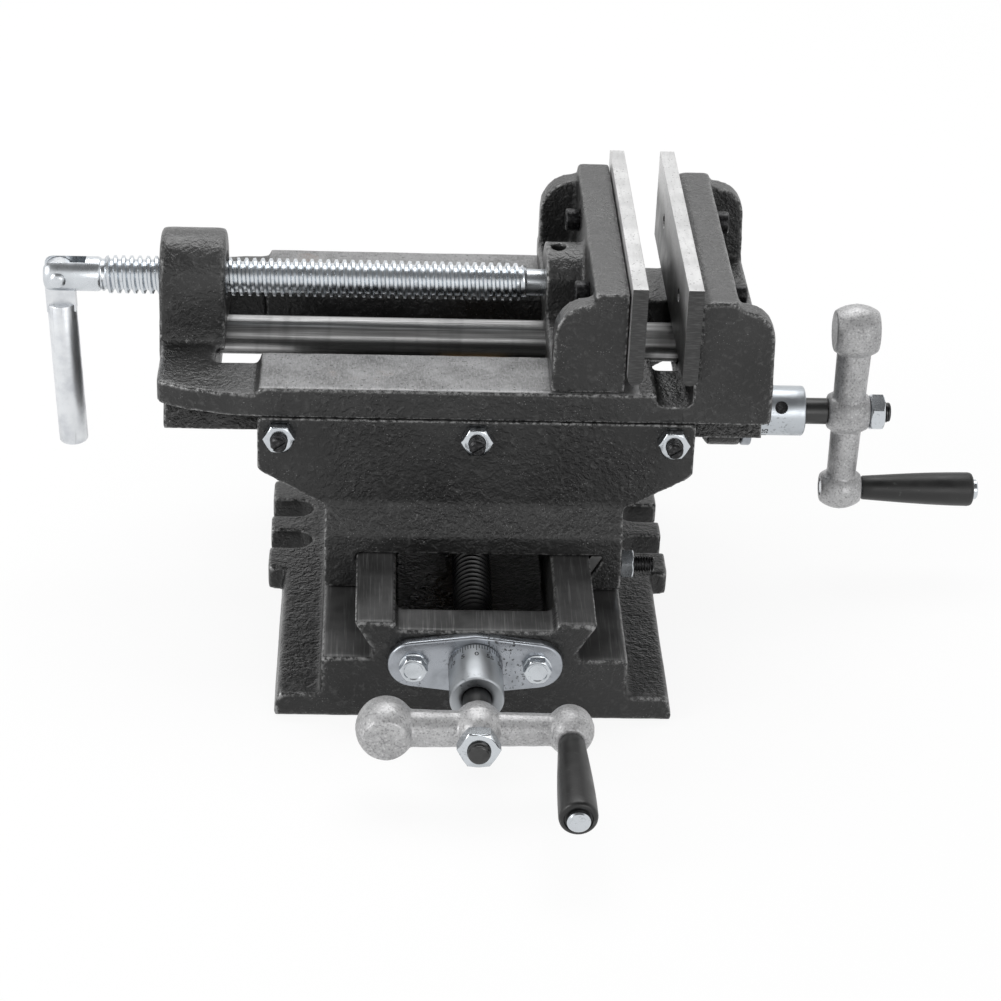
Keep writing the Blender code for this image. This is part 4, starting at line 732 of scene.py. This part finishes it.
def weathered(node):
    """A casting with soft edges: the node's shape, remeshed, smoothed and made slightly uneven."""
    voxel, passes, waviness = CASTINGS[node]
    made = copied(node, "casting")
    remesh = made.modifiers.new("remesh", "REMESH")
    remesh.mode = "VOXEL"
    remesh.voxel_size = voxel * MM
    softened(made, passes)
    apply_modifiers(made)
    if node == "vise_body":
        below, above = (value * MM for value in ROUND_BOSS)
        near = made.vertex_groups.new(name="rounder")
        near.add([v.index for v in made.data.vertices if v.co.x < below and v.co.z > above],
                 1.0, "REPLACE")
        softened(made, ROUND_PASSES, near.name)
        apply_modifiers(made)
    uneven(made, waviness)
    finished(made, node, cast_paint(node))
    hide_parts(node)


# Pieces, in millimetres

def slotted_screw(start, end):
    """An M6 set screw along X with a slot in its far end."""
    radius, pitch = M6_RADIUS, M6_PITCH
    body = threaded(start, end - 0.6, radius, radius - pitch * 0.55, pitch, 32)
    tip = turned([(end - 1.4, radius - pitch * 0.5), (end - 0.7, radius - pitch * 0.35),
                  (end - 0.5, radius - 0.15), (end, radius - 0.6)], 32)
    slot = block((end - 1.4, -0.5, -9), (end + 1, 0.5, 9))
    slot.transform(Matrix.Rotation(0.6, 4, "X"))
    return joined(body, cut(tip, slot))


def gib_fasteners(zinc_metal, black):
    """The set screws and lock nuts of both gibs."""
    thick, across = GIB_NUT
    y, z = TABLE_GIB_FACE
    rows = [(f"table_gib_{{}}_{end}", (x, y, z), TO_FRONT, (-13.0, 9.2))
            for end, x in TABLE_GIB_XS.items()]
    x, z = BASE_GIB_FACE
    rows += [(f"base_gib_{{}}_{end}", (x, y, z), AHEAD, (-9.7, 12.8))
             for end, y in BASE_GIB_YS.items()]
    for name, place, turn, ends in rows:
        nut = nut_mesh(0, thick, across, M6_RADIUS)
        dressed(name.format("nut"), nut, zinc_metal, place, turn)
        dressed(name.format("screw"), slotted_screw(*ends), black, place, turn)


def jaw_screws(black):
    """Socket head screws behind both jaws."""
    for jaw, seat, turn in JAW_SCREW_SEATS:
        for end, y in JAW_SCREW_YS.items():
            head = turned([(-17.0, 2.2), (0.0, 2.5), (0.0, 4.1), (0.25, 4.25), (4.5, 4.25),
                           (5.0, 3.8), (5.0, 0)], 40)
            socket = turned([(2.4, 9, 4.0), (6.0, 9, 4.0)], 24)
            dressed(f"{jaw}_plate_screw_{end}", cut(head, socket), black,
                    (seat, y, JAW_SCREW_Z), turn)


def flange_bolt():
    """A hexagon bolt with a round collar under its head and a shallow dish on top."""
    washer, across, head = 5.0, 8.8, 4.0
    rows = [(-10.5, 2.4), (0.0, 2.5), (0.0, washer - 0.2), (0.2, washer), (0.5, washer),
            (0.75, washer - 0.3), (0.8, across * 0.5)]
    return turned(rows + hexagon(0.9, head, across, False, 0.3))


def flanges(zinc_metal, stamped):
    """Both bearing flanges with their bolts and screws."""
    back_y = FRONT_FLANGE_FACE_Y + FLANGE_THICK
    back_x = SIDE_FLANGE_FACE_X - FLANGE_THICK
    for name, centre, turn, sizes in (
            ("front", (0, back_y, FRONT_SCREW_Z), TO_FRONT, (11.8, 9.1, 21.7)),
            ("side", (back_x, MIDDLE_Y, SIDE_SCREW_Z), AHEAD, (11.7, 6.5, 14.6))):
        outline = flange_outline(*sizes)
        if name == "front":
            outline = [(z, -y) for y, z in outline]
        plate = plate_mesh(outline, 0.0, FLANGE_THICK, 0.9)
        hole = turned([(-2, 5.3), (6, 5.3)], 40)
        dressed(f"{name}_bearing_flange", cut(plate, hole), stamped, centre, turn, 50)
    for end, x in FLANGE_BOLT_XS.items():
        dressed(f"front_flange_bolt_{end}", flange_bolt(), zinc_metal,
                (x, FRONT_FLANGE_FACE_Y, FRONT_SCREW_Z), TO_FRONT)
    for end, y in SIDE_FLANGE_SCREW_YS.items():
        head = turned([(-14.0, 1.9), (-1.8, 2.0), (-0.3, 3.8), (-0.2, 3.9), (-0.2, 0)], 40)
        socket = turned([(-1.6, 9, 2.5), (1.0, 9, 2.5)], 24)
        dressed(f"side_flange_screw_{end}", cut(head, socket), zinc_metal,
                (SIDE_FLANGE_FACE_X, y, SIDE_SCREW_Z))


def barrel(radius, end_radius, half):
    """A drum about the origin with bulging sides and flat ends."""
    sagitta = radius - end_radius
    bulge = (half ** 2 + sagitta ** 2) / (2 * sagitta)
    rows = []
    for i in range(-8, 9):
        along = half * i / 8
        rows.append((along, radius - bulge + math.sqrt(bulge ** 2 - along ** 2)))
    return turned(rows)


def crank_mesh(big, small):
    """A ball crank with its big end up, a faint mould seam, and its two holes cut."""
    hub = barrel(8.8, 6.3, HUB_HALF)
    top = moved(barrel(10.3, 7.6, 8.3), (0, 0, big))
    foot = moved(barrel(8.2, 5.3, 7.8), (0, 0, -small))
    upper = moved(turned([(0, 6.1), (big, 6.6)], 40), (0, 0, 0), UPWARD)
    lower = moved(turned([(-small, 5.5), (0, 5.9)], 40), (0, 0, 0), UPWARD)
    whole = fused(0.42, 6, hub, top, foot, upper, lower)
    whole.normal_update()
    normals = [vertex.normal.copy() for vertex in whole.verts]
    for vertex, normal in zip(whole.verts, normals):
        place = vertex.co
        seam = max(0.0, 1.0 - abs(place.x - 0.1 * noise.noise(place * 0.2)) / 0.5)
        lumps = noise.noise(place * 0.25) * 0.10 + noise.noise(place * 0.9) * 0.035
        if abs(normal.x) < 0.9:
            vertex.co += normal * (seam * 0.20 * (0.6 + 0.8 * noise.noise(place * 0.5)) + lumps)
    stud = turned([(-12, 4.3), (12, 4.3)], 32)
    pin = moved(turned([(-12, 3.3), (-6.6, 3.3), (-6.6, 2.6), (12, 2.6)], 32), (0, 0, -small))
    return cut(whole, stud, pin)


def dial_marks(digits):
    """Raised marks round a collar: its lines, and a number at every fifth."""
    mesh = bmesh.new()
    foot = COLLAR_START + 0.5
    for i in range(DIAL_TICKS):
        long = 3.6 if i % TICKS_A_NUMBER == 0 else 2.2
        line = block((foot, COLLAR_RADIUS - 0.1, -0.17), (foot + long, COLLAR_RADIUS + 0.03, 0.17))
        line.transform(Matrix.Rotation(math.tau * i / DIAL_TICKS, 4, "X"))
        mesh = joined(mesh, line)
    for i, digit in enumerate(digits):
        copy = digit.copy()
        for vertex in copy.verts:
            across, up, out = vertex.co
            angle = math.tau * i / len(digits) - across / COLLAR_RADIUS
            reach = COLLAR_RADIUS + out * 0.03
            vertex.co = (foot + 6.9 - up, reach * math.cos(angle), reach * math.sin(angle))
        mesh = joined(mesh, copy)
    return mesh


def digit_meshes():
    """Plain numbers from 0 to 55, flat, one unit thick either way."""
    found = []
    for value in range(0, DIAL_TICKS, TICKS_A_NUMBER):
        data = bpy.data.curves.new("digits", "FONT")
        data.body = str(value)
        data.size = 3.2
        data.align_x = "CENTER"
        data.extrude = 1.0
        data.offset = 0.06
        data.resolution_u = 3
        made = placed("digits", data)
        graph = bpy.context.evaluated_depsgraph_get()
        mesh = bmesh.new()
        mesh.from_mesh(made.evaluated_get(graph).to_mesh())
        bmesh.ops.subdivide_edges(mesh, edges=[e for e in mesh.edges if e.calc_length() > 0.6],
                                  cuts=1)
        bmesh.ops.triangulate(mesh, faces=mesh.faces)
        found.append(mesh)
        bpy.data.objects.remove(made)
        bpy.data.curves.remove(data)
    return found


def leadscrew_mesh(thread_end):
    """A slide's screw: its thread, plain journal and the crank's stud."""
    return joined(
        threaded(thread_end, -43.6, 7.0, 5.4, SLIDE_PITCH, 32),
        turned([(-44.5, 5.0), (-8.4, 5.0), (-8.2, 4.7), (-8.2, 4.0), (HUB_HALF, 4.0)]),
        threaded(HUB_HALF - 1.0, 15.9, 4.0, 3.5, 1.25, 32),
        turned([(14.8, 3.4), (15.2, 3.7), (15.7, 3.6), (16.1, 3.0), (15.9, 2.0), (16.0, 0)], 40))


def collar_mesh(screw_angle):
    """A dial collar with the hole of its set screw."""
    outside = COLLAR_RADIUS
    collar = turned([(COLLAR_START, 5.3), (COLLAR_START, 9.2), (COLLAR_START + 0.3, outside),
                     (COLLAR_END - 0.9, outside), (COLLAR_END - 0.35, 9.3), (COLLAR_END, 8.8),
                     (COLLAR_END, 6.4), (COLLAR_END - 0.7, 5.3)], 72, ring=True)
    hole = moved(turned([(3, 2.45), (13, 2.45)], 32), (COLLAR_END - 9.5, 0, 0),
                 Matrix.Rotation(screw_angle, 3, "X") @ DOWN_Y)
    return cut(collar, hole)


def drives(zinc_metal, collar_metals):
    """Both slides' screws with collar, crank, nut, grip and grip pin."""
    digits = digit_meshes()
    plastic = satin_plastic()
    ink = stamped_ink()
    for name, (hub, turn, reach, thread_end, screw_angle, spot) in DRIVES.items():
        steel = turned_steel(f"{name}_leadscrew_steel", 1 if name == "front" else 0, 0.075)
        dressed(f"{name}_leadscrew", leadscrew_mesh(thread_end), steel, hub, turn)
        collar = f"{name}_dial_collar"
        dressed(collar, collar_mesh(screw_angle), collar_metals[name], hub, turn)
        dressed(collar, dial_marks(digits), ink, hub, turn, kind="marks")
        aluminium = cast_aluminium(f"{name}_cast_aluminium", Vector(hub) + turn @ Vector(spot))
        dressed(f"{name}_crank", crank_mesh(*reach), aluminium, hub, turn, 70)
        dressed(f"{name}_crank_nut", nut_mesh(HUB_HALF + 0.1, HUB_HALF + 5.6, 13.0, 3.9),
                zinc_metal, hub, turn)
        grip_at = Vector(hub) + turn @ Vector((0, 0, -reach[1]))
        dressed(f"{name}_grip", grip_mesh(), plastic, grip_at, turn, 40)
        pin = turned([(-7.6, 2.2), (-7.0, 2.9), (-6.9, 2.2), (51.5, 2.2), (51.5, 3.9),
                      (52.8, 3.9), (53.3, 3.4), (53.2, 1.4), (53.05, 0)], 40)
        dressed(f"{name}_grip_pin", pin, zinc_metal, grip_at, turn)


def grip_mesh():
    """A turned grip round its pin, which swells towards its far end."""
    rows = [(8.4, 2.6), (8.4, 4.3), (8.8, 4.6)]
    for share in (0.1, 0.2, 0.3, 0.4, 0.5, 0.6, 0.7, 0.8, 0.9):
        swell = 4.65 + 1.9 * math.sin(share * math.pi / 2 * 0.98) ** 1.1
        rows.append((8.8 + 41.0 * share, swell))
    rows += [(49.6, 6.55), (50.5, 6.4), (51.1, 6.0), (51.4, 5.4), (51.4, 4.9), (50.9, 4.6),
             (50.9, 2.6)]
    return turned(rows, 64, ring=True)


def prism_y(outline, low, high):
    """A prism along Y from an outline of (x, z)."""
    mesh = bmesh.new()
    rows = [[mesh.verts.new((x, y, z)) for x, z in outline] for y in (low, high)]
    count = len(outline)
    for i in range(count):
        j = (i + 1) % count
        mesh.faces.new((rows[0][i], rows[0][j], rows[1][j], rows[1][i]))
    mesh.faces.new(rows[0])
    mesh.faces.new(rows[1])
    return mesh


def fork_mesh():
    """The spindle's round head with its slot."""
    rows = [(-5.6, 0), (-5.55, 3.9), (-5.3, 4.8), (-4.7, 5.6), (-3.8, 6.1), (-2.6, 6.35),
            (-1.2, 6.4), (14.4, 6.4), (15.2, 6.0), (15.6, 5.6)]
    return cut(turned(rows, 64), block((-12, -2.9, -9), (10.0, 2.9, 9)))


def handle_pin_mesh():
    """A pin with a rivet cap at both ends."""
    caps = []
    for sign in (-1, 1):
        caps.append(turned([(sign * 6.5, 2.9), (sign * 7.0, 3.0), (sign * 7.6, 2.5),
                            (sign * 8.0, 1.7), (sign * 8.2, 0)], 40))
    return joined(turned([(-6.8, 1.8), (6.8, 1.8)], 32), *caps)


def handle_mesh():
    """The folding bar and its flat tongue, hanging from its pin with a small lean."""
    bar = turned([(-69.1, 0), (-69.1, 4.7), (-68.9, 5.0), (-68.3, 5.4), (-11.9, 5.4),
                  (-11.6, 5.2), (-11.6, 0)], 64)
    bar = moved(bar, (0, 0, 0), UPWARD)
    reach, foot, steps = 5.36, -14.5, 24
    tongue = []
    for i in range(steps + 1):
        angle = math.pi * i / steps
        tongue.append((reach * math.cos(angle), reach * math.sin(angle)))
    tongue += [(-reach, foot), (reach, foot)]
    hole = moved(turned([(-6, 1.9), (6, 1.9)], 32), (0, 0, 0), TO_FRONT)
    whole = joined(cut(prism_y(tongue, -2.6, 2.6), hole), bar)
    whole.transform(Matrix.Rotation(-HANDLE_LEAN, 4, "Y"))
    return whole


def spindle_and_handle(zinc_metal):
    """The clamp spindle with its thread and forked head, the handle and its pin."""
    head = (HANDLE_PIN_X, MIDDLE_Y, SPINDLE_Z)
    screw = threaded(15.0, 171.6, 7.0, 5.6, SLIDE_PITCH, 40)
    neck = turned([(170.8, 5.4), (172.0, 5.0), (181.0, 5.0), (181.0, 4.0), (185.0, 4.0),
                   (185.0, 5.0), (190.0, 5.0), (190.5, 4.5)], 40)
    dressed("clamp_spindle", joined(fork_mesh(), screw, neck), zinc_metal, head)
    dressed("handle_pin", handle_pin_mesh(), zinc_metal, head, TO_FRONT)
    dressed("spindle_handle", handle_mesh(), satin_bar(), head)


def guide_rod():
    """The round bar under the spindle."""
    rows = [(-103.7, 0), (-103.7, 6.3), (-102.9, 7.25), (90.9, 7.25), (91.7, 6.3), (91.7, 0)]
    dressed("guide_rod", turned(rows, 72), streaked_rod(), (0, MIDDLE_Y, GUIDE_ROD_Z))


def eased(node, material, width):
    """The node's own shape with fine broken edges."""
    made = copied(node, "eased")
    bevel = made.modifiers.new("edges", "BEVEL")
    bevel.width = width * MM
    bevel.segments = 2
    bevel.limit_method = "ANGLE"
    bevel.angle_limit = math.radians(40)
    apply_modifiers(made)
    finished(made, node, material)
    made.data.set_sharp_from_angle(angle=math.radians(50))
    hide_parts(node)


# Scene

def make_camera():
    """The photograph's camera, with its roll."""
    pitch, yaw, roll = (math.radians(v) for v in (CAMERA_PITCH, CAMERA_YAW, CAMERA_ROLL))
    look = Vector((math.sin(yaw) * math.cos(pitch), math.cos(yaw) * math.cos(pitch),
                   -math.sin(pitch)))
    right = Vector((math.cos(yaw), -math.sin(yaw), 0))
    up = right.cross(look)
    rolled_right = math.cos(roll) * right + math.sin(roll) * up
    rolled_up = -math.sin(roll) * right + math.cos(roll) * up
    data = bpy.data.cameras.new("camera")
    data.lens = CAMERA_LENS
    data.sensor_width = 36.0
    data.clip_start, data.clip_end = 0.05, 20.0
    camera = placed("camera", data)
    basis = Matrix((rolled_right, rolled_up, -look)).transposed().to_4x4()
    camera.matrix_world = Matrix.Translation(Vector(CAMERA_AT) * MM) @ basis
    bpy.context.scene.camera = camera


def make_world():
    """White behind everything; for light and reflections, white low down and grey overhead."""
    world = bpy.data.worlds.new("studio")
    bpy.context.scene.world = world
    world.use_nodes = True
    tree = world.node_tree
    tree.nodes.clear()
    link = tree.links.new
    place = tree.nodes.new("ShaderNodeTexCoord")
    parts = tree.nodes.new("ShaderNodeSeparateXYZ")
    link(place.outputs["Generated"], parts.inputs[0])
    climb = tree.nodes.new("ShaderNodeMapRange")
    climb.interpolation_type = "SMOOTHSTEP"
    link(parts.outputs["Z"], climb.inputs["Value"])
    for key, value in (("From Min", 0.50), ("From Max", 0.72), ("To Min", 1.0), ("To Max", 0.16)):
        climb.inputs[key].default_value = value
    path = tree.nodes.new("ShaderNodeLightPath")
    seen = tree.nodes.new("ShaderNodeMath")
    seen.operation = "MAXIMUM"
    link(path.outputs["Is Camera Ray"], seen.inputs[0])
    link(path.outputs["Is Transmission Ray"], seen.inputs[1])
    light = tree.nodes.new("ShaderNodeMix")
    light.data_type = "FLOAT"
    link(path.outputs["Is Glossy Ray"], light.inputs["Factor"])
    light.inputs["A"].default_value = WORLD_LIGHT
    link(climb.outputs["Result"], light.inputs["B"])
    total = tree.nodes.new("ShaderNodeMix")
    total.data_type = "FLOAT"
    link(seen.outputs[0], total.inputs["Factor"])
    link(light.outputs["Result"], total.inputs["A"])
    total.inputs["B"].default_value = 1.0
    white = tree.nodes.new("ShaderNodeBackground")
    white.inputs["Color"].default_value = (1, 1, 1, 1)
    link(total.outputs["Result"], white.inputs["Strength"])
    out = tree.nodes.new("ShaderNodeOutputWorld")
    link(white.outputs[0], out.inputs["Surface"])


def make_floor():
    """A pale floor that looks white to the camera but keeps a faint shadow."""
    mesh = bmesh.new()
    bmesh.ops.create_grid(mesh, x_segments=1, y_segments=1, size=6.0)
    data = bpy.data.meshes.new("floor")
    mesh.to_mesh(data)
    mesh.free()
    floor = placed("floor", data)
    floor.location.z = -0.0004
    material = bpy.data.materials.new("floor")
    material.use_nodes = True
    tree = material.node_tree
    tree.nodes.clear()
    link = tree.links.new
    matte = tree.nodes.new("ShaderNodeBsdfDiffuse")
    matte.inputs["Color"].default_value = (*grey(FLOOR_MATTE), 1)
    glow = tree.nodes.new("ShaderNodeEmission")
    path = tree.nodes.new("ShaderNodeLightPath")
    seen = path.outputs["Is Camera Ray"]
    for kind in ("Is Glossy Ray", "Is Transmission Ray"):
        either = tree.nodes.new("ShaderNodeMath")
        either.operation = "MAXIMUM"
        link(seen, either.inputs[0])
        link(path.outputs[kind], either.inputs[1])
        seen = either.outputs[0]
    share = tree.nodes.new("ShaderNodeMath")
    share.operation = "MULTIPLY"
    share.inputs[1].default_value = FLOOR_WHITE
    link(seen, share.inputs[0])
    mix = tree.nodes.new("ShaderNodeMixShader")
    link(share.outputs[0], mix.inputs[0])
    link(matte.outputs[0], mix.inputs[1])
    link(glow.outputs[0], mix.inputs[2])
    out = tree.nodes.new("ShaderNodeOutputMaterial")
    link(mix.outputs[0], out.inputs["Surface"])
    data.materials.append(material)


def make_lights():
    """Soft boxes that all look at the object."""
    for name, place, size, power in LAMPS:
        data = bpy.data.lights.new(name, "AREA")
        data.shape = "RECTANGLE"
        data.size, data.size_y = size
        data.energy = power
        made = placed(name, data)
        made.location = place
        aim = Vector(LAMPS_AIM) - Vector(place)
        made.rotation_mode = "QUATERNION"
        made.rotation_quaternion = aim.to_track_quat("-Z", "Y")


def main():
    bpy.context.scene.view_settings.view_transform = "Standard"
    make_camera()
    make_world()
    make_floor()
    make_lights()
    bright = zinc("zinc_plate")
    black = black_oxide()
    bronze_metal = bronze()
    for node in CASTINGS:
        weathered(node)
    gib_fasteners(bright, black)
    jaw_screws(black)
    flanges(bright, zinc("stamped_zinc"))
    drives(bright, {"front": zinc("front_collar_shaded_zinc"), "side": zinc("collar_zinc")})
    spindle_and_handle(zinc("spindle_zinc"))
    guide_rod()
    for jaw in ("fixed", "moving"):
        name = f"{jaw}_jaw_plate"
        eased(name, ground_plate(f"{name}_steel", jaw == "fixed"), 0.35)
    for name, axis in (("table_gib", 0), ("base_gib", 1)):
        eased(name, turned_steel(f"{name}_steel", axis, 0.30), 0.2)
    for name in ("front_lead_nut", "side_lead_nut"):
        eased(name, bronze_metal, 0.3)
    for name in ("front_collar_setscrew", "side_collar_setscrew", "spindle_retaining_screw"):
        eased(name, black, 0.2)


main()
